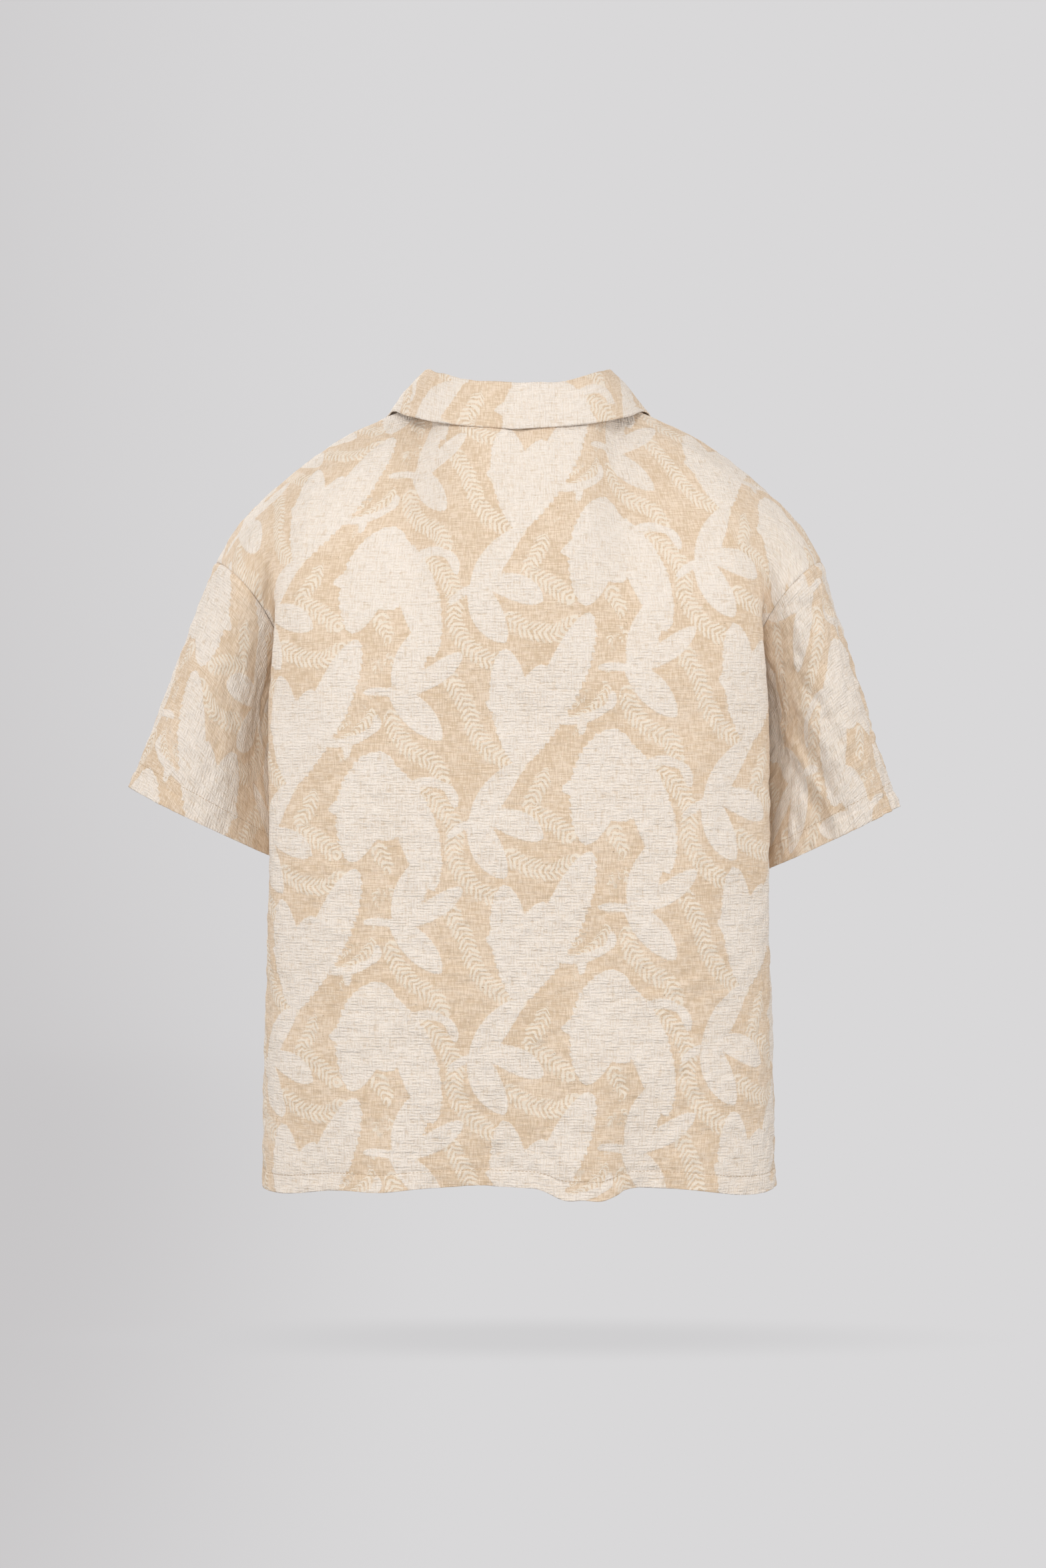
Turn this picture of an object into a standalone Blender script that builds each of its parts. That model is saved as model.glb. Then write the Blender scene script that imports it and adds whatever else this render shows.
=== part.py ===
# A short-sleeved shirt with an open collar, filled out as if worn.
# Metres, +Z up. The front faces -Y, the wearer's left is +X, and the origin lies between the shoulders.

import math

import bmesh
import bpy
import numpy as np

# Driving sizes
HEM_LEVEL = -0.709
HEM_DROP_AT_SIDE = 0.007
UNDERARM_LEVEL = -0.285
HALF_CHEST = 0.286
WALL = 0.0016
HEM_WALL = 0.0024
SEAM_GAP = 0.0003
LAP_GAP = 0.0008
MEAN_HALF_WIDTH = 0.236
MEAN_REACH = 0.117
SECTION_POWER = 3.0
SIDE_SEAM_Y = -0.012
DENT_BREADTH = 0.050
HEM_DROP_REACH = 0.12
HEM_FOLD_CLEAR_SHARE = 0.12
LAP_FROM_SHARE = 0.06
LAP_TO_SHARE = 0.16
MITER_LIMIT = 0.30
OVERLAP_SHARE = 0.056
REVERS_SHARE = 0.02
GORGE_SHARE = 0.19
NOTCH_SHARE = 0.006
NECK_SHARE = 0.31
NECK_ALONG_COLLAR = 0.54
CUFF_HALF_DEPTH = 0.053
UNDERARM_PULL = np.array((0.75, 0, -0.55))
SLEEVE_FOLD_REACH = 0.35
SLEEVE_FOLD_START = 0.15
FOLD_RADIUS = 0.0020
FOLD_STEPS = np.radians((0, 60, 120, 180))
COLLAR_BULGE = 0.0045
REVERS_COLUMNS_ACROSS = 9
REVERS_LIFT = 0.0036
BUTTON_RADIUS = 0.00575
BUTTON_THICKNESS = 0.0026
BUTTON_SIDES = 20
FIRST_BUTTON = -0.182
BUTTON_SPACING = 0.092
BUTTON_COUNT = 6
TINY = 1e-9

# Torso sections from the hem to the underarm: half width, reach to the back and front, dent at the side
TORSO_COLUMNS = ("level", "half_width", "back", "front", "dent")
TORSO_SECTIONS = (
    (-0.720, 0.2355, 0.112, 0.114, 0.000),
    (-0.620, 0.2350, 0.113, 0.116, 0.000),
    (-0.520, 0.2355, 0.114, 0.118, 0.006),
    (-0.450, 0.2400, 0.115, 0.119, 0.020),
    (-0.400, 0.2445, 0.116, 0.120, 0.035),
    (-0.350, 0.2475, 0.116, 0.121, 0.046),
    (-0.315, 0.2480, 0.116, 0.121, 0.049),
    (-0.285, 0.2465, 0.116, 0.121, 0.041),
)

# Top edges by share of the half chest: the shoulder seam, the back of the neck, the roll line of the front
TOP_COLUMNS = ("share", "x", "y", "z")
SHOULDER = (
    (0.31, 0.088, -0.004, 0.009),
    (0.42, 0.117, -0.007, -0.004),
    (0.60, 0.170, -0.009, -0.030),
    (0.80, 0.226, -0.010, -0.073),
    (0.92, 0.262, -0.010, -0.109),
    (1.00, 0.281, -0.010, -0.141),
)
BACK_NECK = (
    (0.00, 0.000, 0.066, -0.012),
    (0.10, 0.033, 0.061, -0.010),
    (0.20, 0.065, 0.040, -0.002),
    (0.31, 0.088, -0.004, 0.009),
)
ROLL_LINE = (
    (-0.056, -0.016, -0.1235, -0.172),
    (0.00, 0.000, -0.1220, -0.156),
    (0.10, 0.030, -0.1110, -0.112),
    (0.20, 0.060, -0.0800, -0.056),
    (0.31, 0.088, -0.004, 0.009),
)

# How the cloth leaves the underarm level and arrives at the top edge, as a pull along each axis
PULL_COLUMNS = ("share", "start_x", "start_y", "start_z", "end_x", "end_y", "end_z")
BACK_PULLS = (
    (0.00, 0.00, 0.03, 0.30, 0.00, -0.15, 0.20),
    (0.31, 0.00, 0.03, 0.32, 0.00, -0.20, 0.10),
    (0.65, 0.00, 0.03, 0.32, 0.02, -0.25, 0.06),
    (0.88, -0.03, 0.08, 0.30, 0.06, -0.30, 0.03),
    (1.00, 0.01, 0.13, 0.28, 0.06, -0.42, 0.02),
)
FRONT_PULLS = (
    (-0.056, 0.00, -0.01, 0.12, 0.00, 0.01, 0.12),
    (0.00, 0.00, -0.01, 0.14, 0.00, 0.02, 0.14),
    (0.10, 0.00, -0.01, 0.19, 0.00, 0.06, 0.17),
    (0.20, 0.00, -0.02, 0.24, 0.00, 0.12, 0.20),
    (0.31, 0.00, -0.02, 0.30, 0.00, 0.22, 0.14),
    (0.65, 0.00, -0.02, 0.32, 0.02, 0.25, 0.06),
    (0.88, -0.03, -0.06, 0.30, 0.06, 0.30, 0.03),
    (1.00, 0.01, -0.12, 0.28, 0.06, 0.40, 0.02),
)

# Folds that open towards the hem: place from the middle, half breadth, push out, drop of the hem, reach up
FOLD_COLUMNS = ("place", "breadth", "push", "drop", "reach")
BACK_FOLDS = (
    (-0.040, 0.016, 0.007, 0.010, 0.20),
    (-0.068, 0.018, 0.009, 0.011, 0.22),
    (-0.105, 0.022, -0.006, 0.000, 0.18),
    (-0.200, 0.050, 0.006, 0.008, 0.22),
    (0.035, 0.026, -0.005, -0.002, 0.18),
    (0.118, 0.030, 0.008, 0.004, 0.26),
    (0.205, 0.045, 0.005, 0.007, 0.20),
)
FRONT_FOLDS = (
    (0.115, 0.036, 0.010, 0.006, 0.24),
    (0.200, 0.032, -0.005, -0.001, 0.18),
    (-0.105, 0.034, -0.006, -0.001, 0.20),
    (-0.180, 0.036, 0.009, 0.006, 0.22),
)

# Inner and outer corner of each sleeve hem; the right sleeve hangs a little lower
CUFFS = {
    1: (np.array((0.2275, -0.022, -0.4150)), np.array((0.3620, -0.022, -0.3500))),
    -1: (np.array((0.2290, -0.022, -0.4270)), np.array((0.3520, -0.022, -0.3685))),
}

# Soft folds in the sleeves: turn from the underarm over the back, half breadth, push, where it is deepest
SLEEVE_FOLD_COLUMNS = ("turn", "breadth", "push", "deepest")
SLEEVE_FOLDS = {
    1: ((0.85, 0.30, -0.006, 0.55), (1.75, 0.45, 0.003, 0.70), (5.20, 0.35, -0.004, 0.55)),
    -1: ((0.80, 0.28, -0.004, 0.45), (1.45, 0.26, -0.004, 0.80), (2.20, 0.30, 0.003, 0.60),
         (5.10, 0.35, -0.005, 0.55)),
}

# Collar from the middle of the back of the neck to the gorge: fold line and free edge
COLLAR_COLUMNS = ("along", "fold_x", "fold_y", "fold_z", "edge_x", "edge_y", "edge_z")
COLLAR_SECTIONS = (
    (0.00, 0.000, 0.062, 0.018, 0.000, 0.082, -0.026),
    (0.20, 0.042, 0.055, 0.021, 0.060, 0.067, -0.020),
    (0.40, 0.074, 0.028, 0.032, 0.101, 0.036, -0.008),
    (0.54, 0.084, -0.006, 0.037, 0.118, -0.006, 0.001),
    (0.72, 0.081, -0.040, 0.016, 0.131, -0.038, -0.021),
    (0.86, 0.073, -0.064, -0.012, 0.135, -0.064, -0.044),
    (1.00, 0.061, -0.086, -0.044, 0.130, -0.083, -0.068),
)

# Free edge of the revers, from near the first button to its point beside the gorge
REVERS_COLUMNS = ("share", "x", "z")
REVERS_EDGE = (
    (0.02, 0.016, -0.161),
    (0.08, 0.058, -0.147),
    (0.14, 0.099, -0.122),
    (0.19, 0.126, -0.088),
)

# A button from its seat to its face: share of the radius, share of the thickness
BUTTON_PROFILE = ((0.72, 0), (0.94, 0.22), (1, 0.50), (0.95, 0.85), (0.82, 1), (0.66, 0.78))
BUTTON_WELL = 0.70

# Grid lines: heights are 0 at the hem, 1 at the underarm and 2 at the top, shares run from middle to side
LOWER_HEIGHTS = np.array((0, 0.040, 0.047, 0.18, 0.36, 0.53, 0.67, 0.79, 0.88, 0.95, 1))
UPPER_HEIGHTS = 1 + np.array((0.09, 0.20, 0.32, 0.44, 0.56, 0.68, 0.79, 0.88, 0.95, 1))
HEIGHTS = np.concatenate([LOWER_HEIGHTS, UPPER_HEIGHTS])
UNDERARM_ROW = len(LOWER_HEIGHTS) - 1
HEM_ROWS = 2
SLEEVE_ROWS = np.array((0, 0.05, 0.13, 0.25, 0.38, 0.52, 0.66, 0.79, 0.905, 0.915, 1))
SIDE_SHARES = np.array((0.40, 0.49, 0.58, 0.66, 0.74, 0.81, 0.87, 0.92, 0.96, 1))
BACK_SHARES = np.concatenate([np.linspace(0, NECK_SHARE, 8), SIDE_SHARES])
FRONT_SHARES = np.concatenate([
    (-OVERLAP_SHARE, -REVERS_SHARE),
    np.linspace(REVERS_SHARE, GORGE_SHARE, 5),
    np.linspace(GORGE_SHARE, NECK_SHARE, 5)[1:],
    SIDE_SHARES,
])
COLLAR_FALL = np.array((0.22, 0.48, 0.74, 1))
REVERS_ROWS = np.array((0.09, 0.24, 0.42, 0.61, 0.80, 1))
MIDDLE_COLUMN = len(BACK_SHARES) - 1
BACK_NECK_COLUMN = int(np.searchsorted(BACK_SHARES, NECK_SHARE - TINY))
FRONT_GORGE_COLUMN = int(np.searchsorted(FRONT_SHARES, GORGE_SHARE - TINY))
FRONT_NECK_COLUMN = int(np.searchsorted(FRONT_SHARES, NECK_SHARE - TINY))

CLOTH_COLOUR = (0.80, 0.69, 0.56)
CLOTH_ROUGHNESS = 0.9
BUTTON_COLOUR = (0.62, 0.50, 0.37)
BUTTON_ROUGHNESS = 0.45


def hermite(start, start_pull, end, end_pull, t):
    return ((2 * t**3 - 3 * t**2 + 1) * start + (t**3 - 2 * t**2 + t) * start_pull
            + (3 * t**2 - 2 * t**3) * end + (t**3 - t**2) * end_pull)


def read_table(rows, columns, wanted, at):
    # Smooth curve through one column of a table, read at values of its first column
    key = np.array([row[0] for row in rows])
    value = np.array([row[columns.index(wanted)] for row in rows])
    slope = np.gradient(value, key)
    at = np.clip(at, key[0], key[-1])
    low = np.clip(np.searchsorted(key, at, side="right") - 1, 0, len(key) - 2)
    high = low + 1
    span = key[high] - key[low]
    return hermite(value[low], slope[low] * span, value[high], slope[high] * span, (at - key[low]) / span)


def unit(vectors):
    return vectors / np.maximum(np.linalg.norm(vectors, axis=-1, keepdims=True), TINY)


def section_angle(share):
    # Angle on a torso section at an equal share of the way round, a right angle at the middle, 0 at the side
    angle = np.linspace(math.pi / 2, 0, 400)
    x = MEAN_HALF_WIDTH * np.cos(angle) ** (2 / SECTION_POWER)
    y = MEAN_REACH * np.sin(angle) ** (2 / SECTION_POWER)
    length = np.concatenate(([0], np.cumsum(np.hypot(np.diff(x), np.diff(y)))))
    return np.interp(share, length / length[-1], angle)


def torso_point(face, share, level):
    # Point below the underarm on the left half; face is 1 on the back and -1 on the front
    angle = section_angle(np.abs(share))
    half_width = read_table(TORSO_SECTIONS, TORSO_COLUMNS, "half_width", level)
    reach = read_table(TORSO_SECTIONS, TORSO_COLUMNS, "back" if face > 0 else "front", level)
    dent = read_table(TORSO_SECTIONS, TORSO_COLUMNS, "dent", level)
    x = half_width * np.cos(angle) ** (2 / SECTION_POWER)
    y = SIDE_SEAM_Y + (face * reach - SIDE_SEAM_Y) * np.sin(angle) ** (2 / SECTION_POWER)
    x = x - dent * np.exp(-((y - SIDE_SEAM_Y) / DENT_BREADTH) ** 2)
    return np.stack([x * np.where(share < 0, -1, 1), y, level + 0 * x], axis=-1)


def upper_point(face, share, rise):
    # Point between the underarm level, rise 0, and the neck, roll line or shoulder seam, rise 1
    start = torso_point(face, share, UNDERARM_LEVEL + 0 * share)
    neck = BACK_NECK if face > 0 else ROLL_LINE
    pulls = BACK_PULLS if face > 0 else FRONT_PULLS
    axes = []
    for index, axis in enumerate("xyz"):
        end = np.where(share < NECK_SHARE, read_table(neck, TOP_COLUMNS, axis, share),
                       read_table(SHOULDER, TOP_COLUMNS, axis, share))
        start_pull = read_table(pulls, PULL_COLUMNS, "start_" + axis, share)
        end_pull = read_table(pulls, PULL_COLUMNS, "end_" + axis, share)
        axes.append(hermite(start[..., index], start_pull, end, end_pull, rise))
    return np.stack(axes, axis=-1)


def add_hem_folds(face, side, share, height, points):
    above_hem = np.clip(height, 0, 1) * (UNDERARM_LEVEL - HEM_LEVEL)
    place = side * share * HALF_CHEST
    inward = np.clip((1 - share) / HEM_FOLD_CLEAR_SHARE, 0, 1)
    outward = unit(points * np.array((1 / MEAN_HALF_WIDTH**2, 1 / MEAN_REACH**2, 0)))
    for row in BACK_FOLDS if face > 0 else FRONT_FOLDS:
        fold = dict(zip(FOLD_COLUMNS, row))
        shape = inward * np.exp(-((place - fold["place"]) / fold["breadth"]) ** 2)
        fade = np.clip(1 - above_hem / fold["reach"], 0, 1) ** 2
        points = points + outward * (fold["push"] * shape * fade)[..., None]
        points[..., 2] -= fold["drop"] * shape * np.clip(1 - above_hem / HEM_DROP_REACH, 0, 1) ** 2
    return points


def body_point(face, side, share, height):
    # Share runs from the middle to the side; height from 0 at the hem to 1 at the underarm and 2 at the top
    share, height = np.broadcast_arrays(np.asarray(share, float), np.asarray(height, float))
    hem = HEM_LEVEL - HEM_DROP_AT_SIDE * share**4
    level = hem + (UNDERARM_LEVEL - hem) * np.clip(height, 0, 1)
    lower = torso_point(face, share, level)
    upper = upper_point(face, share, np.clip(height - 1, 0, 1))
    points = np.where((height <= 1)[..., None], lower, upper)
    points = add_hem_folds(face, side, share, height, points * np.array((side, 1, 1)))
    if face < 0:
        # The left front laps over the right one
        lap = np.clip((LAP_TO_SHARE - share) / (LAP_TO_SHARE - LAP_FROM_SHARE), 0, 1)
        points[..., 1] -= side * (HEM_WALL + LAP_GAP) / 2 * lap**2 * (3 - 2 * lap)
    return points


def grid_normals(points, sign, ring=False):
    # Unit normals of a grid of points; sign picks the side of the cloth that faces out
    down = np.gradient(points, axis=0)
    across = np.gradient(points, axis=1)
    if ring:
        across = (np.roll(points, -1, axis=1) - np.roll(points, 1, axis=1)) / 2
    return unit(np.cross(down, across)) * sign


def miter(first, second):
    # Offset at a seam, the same on both walls, so that both end on one plane
    return (first + second) / np.maximum(1 + np.sum(first * second, axis=-1, keepdims=True), MITER_LIMIT)


def step_back(points, columns, rows, distance):
    # Draw a grid's seam edges back along the cloth; columns and rows are edge indices 0 or -1
    result = points.copy()
    for edge in columns:
        inner = points[:, 1 if edge == 0 else -2]
        result[:, edge] += unit(inner - points[:, edge]) * distance
    for edge in rows:
        inner = points[1 if edge == 0 else -2]
        result[edge] += unit(inner - points[edge]) * distance
    return result


def make_wall(name, points, offsets, thickness, ring=False):
    # A closed wall on both sides of a grid of points
    rows, columns = points.shape[:2]
    half = np.broadcast_to(thickness, (rows, columns))[..., None] / 2
    vertices = np.stack([points + offsets * half, points - offsets * half]).reshape(-1, 3)
    count = rows * columns
    last = columns if ring else columns - 1
    cells = [(row, column) for row in range(rows - 1) for column in range(last)]
    faces = []
    for row, column in cells:
        after = (column + 1) % columns
        corners = (row * columns + column, row * columns + after,
                   (row + 1) * columns + after, (row + 1) * columns + column)
        faces.append(corners)
        faces.append(tuple(corner + count for corner in reversed(corners)))
    border = []
    for column in range(last):
        after = (column + 1) % columns
        border.append((column, after))
        border.append(((rows - 1) * columns + after, (rows - 1) * columns + column))
    if not ring:
        for row in range(rows - 1):
            border.append((row * columns + columns - 1, (row + 1) * columns + columns - 1))
            border.append(((row + 1) * columns, row * columns))
    level = points.reshape(-1, 3)[:, 2]
    for first, second in border:
        # Two walls that meet at a seam are split along the same diagonals
        if level[first] > level[second]:
            faces.append((second, first, second + count))
            faces.append((first, first + count, second + count))
        else:
            faces.append((second, first, first + count))
            faces.append((second, first + count, second + count))
    mesh = bpy.data.meshes.new(name)
    mesh.from_pydata([tuple(vertex) for vertex in vertices], [], faces)
    return place_mesh(name, mesh)


def place_mesh(name, mesh):
    editor = bmesh.new()
    editor.from_mesh(mesh)
    bmesh.ops.recalc_face_normals(editor, faces=editor.faces)
    if editor.calc_volume(signed=True) < 0:
        bmesh.ops.reverse_faces(editor, faces=editor.faces)
    editor.to_mesh(mesh)
    editor.free()
    mesh.shade_smooth()
    mesh.set_sharp_from_angle(angle=math.radians(40))
    piece = bpy.data.objects.new(name, mesh)
    bpy.context.scene.collection.objects.link(piece)
    return piece


def set_material(piece, colour, roughness):
    material = bpy.data.materials.new(piece.name + "_finish")
    material.use_nodes = True
    shader = material.node_tree.nodes["Principled BSDF"]
    shader.inputs["Base Color"].default_value = (*colour, 1)
    shader.inputs["Roughness"].default_value = roughness
    shader.inputs["Metallic"].default_value = 0
    piece.data.materials.append(material)


def body_thickness(columns):
    thickness = np.full((len(HEIGHTS), columns), WALL)
    thickness[:HEM_ROWS] = HEM_WALL
    return thickness


def armhole_loop(back_half, front_half):
    # Once round an armhole, from the underarm up the back and down the front
    back = back_half[UNDERARM_ROW:, -1]
    front = front_half[UNDERARM_ROW:, -1]
    return np.concatenate([back, front[-2:0:-1]])


def loop_turn(loop):
    # Angle round the armhole, 0 at the underarm and half a turn at the shoulder tip
    length = np.concatenate(([0], np.cumsum(np.linalg.norm(np.diff(loop, axis=0), axis=1))))
    total = length[-1] + np.linalg.norm(loop[0] - loop[-1])
    top = len(UPPER_HEIGHTS)
    back = math.pi * length[: top + 1] / length[top]
    front = math.pi * (1 + (length[top + 1:] - length[top]) / (total - length[top]))
    return np.concatenate([back, front])


def sleeve_grid(side, loop):
    # Rows run from the armhole to the sleeve hem, columns once round the sleeve
    mirror = np.array((side, 1, 1))
    start = loop * mirror
    turn = loop_turn(start)[:, None]
    inner, outer = CUFFS[side]
    cuff = inner + (outer - inner) * (1 - np.cos(turn)) / 2 + np.sin(turn) * np.array((0, CUFF_HALF_DEPTH, 0))
    under = np.cos(turn / 2) ** 4
    span = np.linalg.norm(cuff - start, axis=1, keepdims=True)
    start_pull = (cuff - start) * (1 - under) + UNDERARM_PULL * span * under
    grid = np.stack([hermite(start, start_pull, cuff, cuff - start, t) for t in SLEEVE_ROWS])
    outward = unit(grid - grid.mean(axis=1, keepdims=True))
    for row in SLEEVE_FOLDS[side]:
        fold = dict(zip(SLEEVE_FOLD_COLUMNS, row))
        shape = np.exp(-((turn[:, 0] - fold["turn"]) / fold["breadth"]) ** 2)
        fade = np.exp(-((SLEEVE_ROWS - fold["deepest"]) / SLEEVE_FOLD_REACH) ** 2)
        fade = fade * np.clip(SLEEVE_ROWS / SLEEVE_FOLD_START, 0, 1)
        grid = grid + outward * (fold["push"] * fade[:, None] * shape)[..., None]
    return grid * mirror


def collar_base():
    # Neck seam of the left half, from the middle of the back to the gorge
    back = body_point(1, 1, BACK_SHARES[:BACK_NECK_COLUMN + 1], 2)
    front = body_point(-1, 1, FRONT_SHARES[FRONT_GORGE_COLUMN:FRONT_NECK_COLUMN], 2)
    return np.concatenate([back, front[::-1]])


def collar_grid():
    # Rows run from the neck seam over the fold to the free edge, columns from gorge to gorge
    base = collar_base()
    step = np.linalg.norm(np.diff(base, axis=0), axis=1)
    length = np.concatenate(([0], np.cumsum(step)))
    along = np.interp(length, (0, length[BACK_NECK_COLUMN], length[-1]), (0, NECK_ALONG_COLLAR, 1))
    fold, edge = (np.stack([read_table(COLLAR_SECTIONS, COLLAR_COLUMNS, name + axis, along) for axis in "xyz"],
                           axis=-1) for name in ("fold_", "edge_"))
    rise = unit(fold - base)
    out = unit((edge - fold) - rise * np.sum((edge - fold) * rise, axis=-1, keepdims=True))
    centre = fold + (out - rise) * FOLD_RADIUS
    rows = [base, (base + fold) / 2]
    for angle in FOLD_STEPS:
        rows.append(centre + FOLD_RADIUS * (rise * math.sin(angle) - out * math.cos(angle)))
    top = rows[-1]
    bulge = unit(np.cross(np.gradient(top, axis=0), edge - top))
    bulge = bulge * np.sign(np.sum(bulge * rise, axis=-1, keepdims=True))
    for share in COLLAR_FALL:
        rows.append(top + (edge - top) * share + bulge * COLLAR_BULGE * math.sin(math.pi * share))
    left = np.stack(rows)
    right = left[:, :0:-1] * np.array((-1, 1, 1))
    return np.concatenate([right, left], axis=1)


def on_front(side, x, z):
    # Share and height of the front panel's point at a given x and z
    share = np.clip(np.abs(x) / 0.26, 0, 1)
    height = np.full_like(share, 1.6)
    small = 1e-4
    for _ in range(25):
        here = body_point(-1, side, share, height)
        along = (body_point(-1, side, share + small, height) - here) / small
        up = (body_point(-1, side, share, height + small) - here) / small
        gap_x, gap_z = x - here[..., 0], z - here[..., 2]
        scale = along[..., 0] * up[..., 2] - along[..., 2] * up[..., 0]
        share = share + 0.7 * (gap_x * up[..., 2] - gap_z * up[..., 0]) / scale
        height = np.clip(height + 0.7 * (along[..., 0] * gap_z - along[..., 2] * gap_x) / scale, 1, 1.999)
    return share, height


def front_frame(side, share, height):
    # Point and outward unit normal of a front panel
    small = 1e-3
    here = body_point(-1, side, share, height)
    along = body_point(-1, side, share + small, height) - body_point(-1, side, share - small, height)
    up = body_point(-1, side, share, height + small / 2) - body_point(-1, side, share, height - small / 2)
    return here, unit(np.cross(along, up)) * side


def revers_grid(side, shares):
    # Rows run from the roll line out to the free edge, over the front panel
    roll = body_point(-1, side, shares, 2)
    edge_x = side * read_table(REVERS_EDGE, REVERS_COLUMNS, "x", shares)
    edge_z = read_table(REVERS_EDGE, REVERS_COLUMNS, "z", shares)
    normal = front_frame(side, shares, np.full_like(shares, 1.985))[1]
    rows = [roll + normal * (WALL + LAP_GAP)]
    for share in REVERS_ROWS:
        x = roll[:, 0] + (edge_x - roll[:, 0]) * share
        z = roll[:, 2] + (edge_z - roll[:, 2]) * share
        point, normal = front_frame(side, *on_front(side, x, z))
        rows.append(point + normal * REVERS_LIFT)
    return np.stack(rows)


def make_button(number, level):
    # A turned disc with a raised rim, its axis along Y, seated on the left front
    under = level + BUTTON_RADIUS * np.array((-1, -0.5, 0, 0.5, 1))
    height = np.interp(under, (HEM_LEVEL, UNDERARM_LEVEL), (0, 1))
    if level > UNDERARM_LEVEL:
        height = on_front(1, 0 * under, under)[1]
    face = body_point(-1, 1, 0.0, height)[:, 1].min() - WALL / 2 - SEAM_GAP
    turns = [2 * math.pi * index / BUTTON_SIDES for index in range(BUTTON_SIDES)]
    editor = bmesh.new()
    first = editor.verts.new((0, face, level))
    last = editor.verts.new((0, face - BUTTON_THICKNESS * BUTTON_WELL, level))
    rings = []
    for reach, rise in BUTTON_PROFILE:
        radius = BUTTON_RADIUS * reach
        y = face - BUTTON_THICKNESS * rise
        rings.append([editor.verts.new((radius * math.cos(turn), y, level + radius * math.sin(turn)))
                      for turn in turns])
    for index in range(BUTTON_SIDES):
        after = (index + 1) % BUTTON_SIDES
        editor.faces.new((first, rings[0][index], rings[0][after]))
        editor.faces.new((last, rings[-1][after], rings[-1][index]))
        for near, far in zip(rings, rings[1:]):
            editor.faces.new((near[index], far[index], far[after], near[after]))
    mesh = bpy.data.meshes.new("button")
    editor.to_mesh(mesh)
    editor.free()
    set_material(place_mesh(f"button_{number}", mesh), BUTTON_COLOUR, BUTTON_ROUGHNESS)


def make_cloth(name, points, offsets, thickness, ring=False):
    set_material(make_wall(name, points, offsets, thickness, ring), CLOTH_COLOUR, CLOTH_ROUGHNESS)


def make_sleeve(side, loop, around):
    # One sleeve; returns the offsets that the body shares with it round the armhole
    grid = sleeve_grid(side, loop)
    offsets = grid_normals(grid, -side, ring=True)
    offsets[0] = miter(around, offsets[0])
    thickness = np.full(grid.shape[:2], WALL)
    thickness[-HEM_ROWS:] = HEM_WALL
    make_cloth("sleeve_left" if side > 0 else "sleeve_right", step_back(grid, (), (0,), SEAM_GAP / 2),
               offsets, thickness, ring=True)
    return offsets[0]


def make_body_and_sleeves():
    back = np.concatenate([
        body_point(1, -1, BACK_SHARES[:0:-1][None, :], HEIGHTS[:, None]),
        body_point(1, 1, BACK_SHARES[None, :], HEIGHTS[:, None]),
    ], axis=1)
    back_offsets = grid_normals(back, 1)
    halves = {1: slice(MIDDLE_COLUMN, None), -1: slice(MIDDLE_COLUMN, None, -1)}
    seam_columns = len(SIDE_SHARES) + 1
    top = len(UPPER_HEIGHTS)
    fronts = {}
    front_offsets = {}
    for side in (1, -1):
        front = body_point(-1, side, FRONT_SHARES[None, :], HEIGHTS[:, None])
        offsets = grid_normals(front, -side)
        half = back_offsets[:, halves[side]]
        side_seam = miter(half[:, -1], offsets[:, -1])
        shoulder = miter(half[-1, -seam_columns:], offsets[-1, -seam_columns:])
        around = armhole_loop(half, offsets)
        around[0] = unit(side_seam[UNDERARM_ROW])
        around[top] = unit(shoulder[-1])
        ring = make_sleeve(side, armhole_loop(back[:, halves[side]], front), around)
        half[:UNDERARM_ROW, -1] = side_seam[:UNDERARM_ROW]
        offsets[:UNDERARM_ROW, -1] = side_seam[:UNDERARM_ROW]
        half[-1, -seam_columns:] = shoulder
        offsets[-1, -seam_columns:] = shoulder
        half[UNDERARM_ROW:, -1] = ring[:top + 1]
        offsets[UNDERARM_ROW:, -1] = np.concatenate([ring[:1], ring[:top - 1:-1]])
        fronts[side] = front
        front_offsets[side] = offsets
    make_collar(back_offsets, front_offsets)
    make_cloth("back", step_back(back, (0, -1), (-1,), SEAM_GAP / 2), back_offsets,
               body_thickness(back.shape[1]))
    for side, name in ((1, "front_left"), (-1, "front_right")):
        make_cloth(name, step_back(fronts[side], (-1,), (-1,), SEAM_GAP / 2), front_offsets[side],
                   body_thickness(fronts[side].shape[1]))


def make_collar(back_offsets, front_offsets):
    # The collar; the offsets of the back and the fronts are set to match it along the neck seam
    grid = collar_grid()
    offsets = grid_normals(grid, 1)
    neck = slice(MIDDLE_COLUMN - BACK_NECK_COLUMN, MIDDLE_COLUMN + BACK_NECK_COLUMN + 1)
    gorge = slice(FRONT_GORGE_COLUMN, FRONT_NECK_COLUMN)
    left, right = front_offsets[1][-1], front_offsets[-1][-1]
    body = np.concatenate([right[gorge], back_offsets[-1, neck], left[gorge][::-1]])
    offsets[0] = miter(unit(body), offsets[0])
    make_cloth("collar", step_back(grid, (), (0,), SEAM_GAP), offsets, WALL)
    count = FRONT_NECK_COLUMN - FRONT_GORGE_COLUMN
    back_offsets[-1, neck] = offsets[0, count:-count]
    gorge = slice(FRONT_GORGE_COLUMN, FRONT_NECK_COLUMN + 1)
    right[gorge] = offsets[0, :count + 1]
    left[gorge] = offsets[0, ::-1][:count + 1]


def make_revers(side):
    shares = np.linspace(REVERS_SHARE, GORGE_SHARE - NOTCH_SHARE, REVERS_COLUMNS_ACROSS)
    grid = revers_grid(side, shares)
    make_cloth("revers_left" if side > 0 else "revers_right", grid, grid_normals(grid, -side), WALL)


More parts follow.
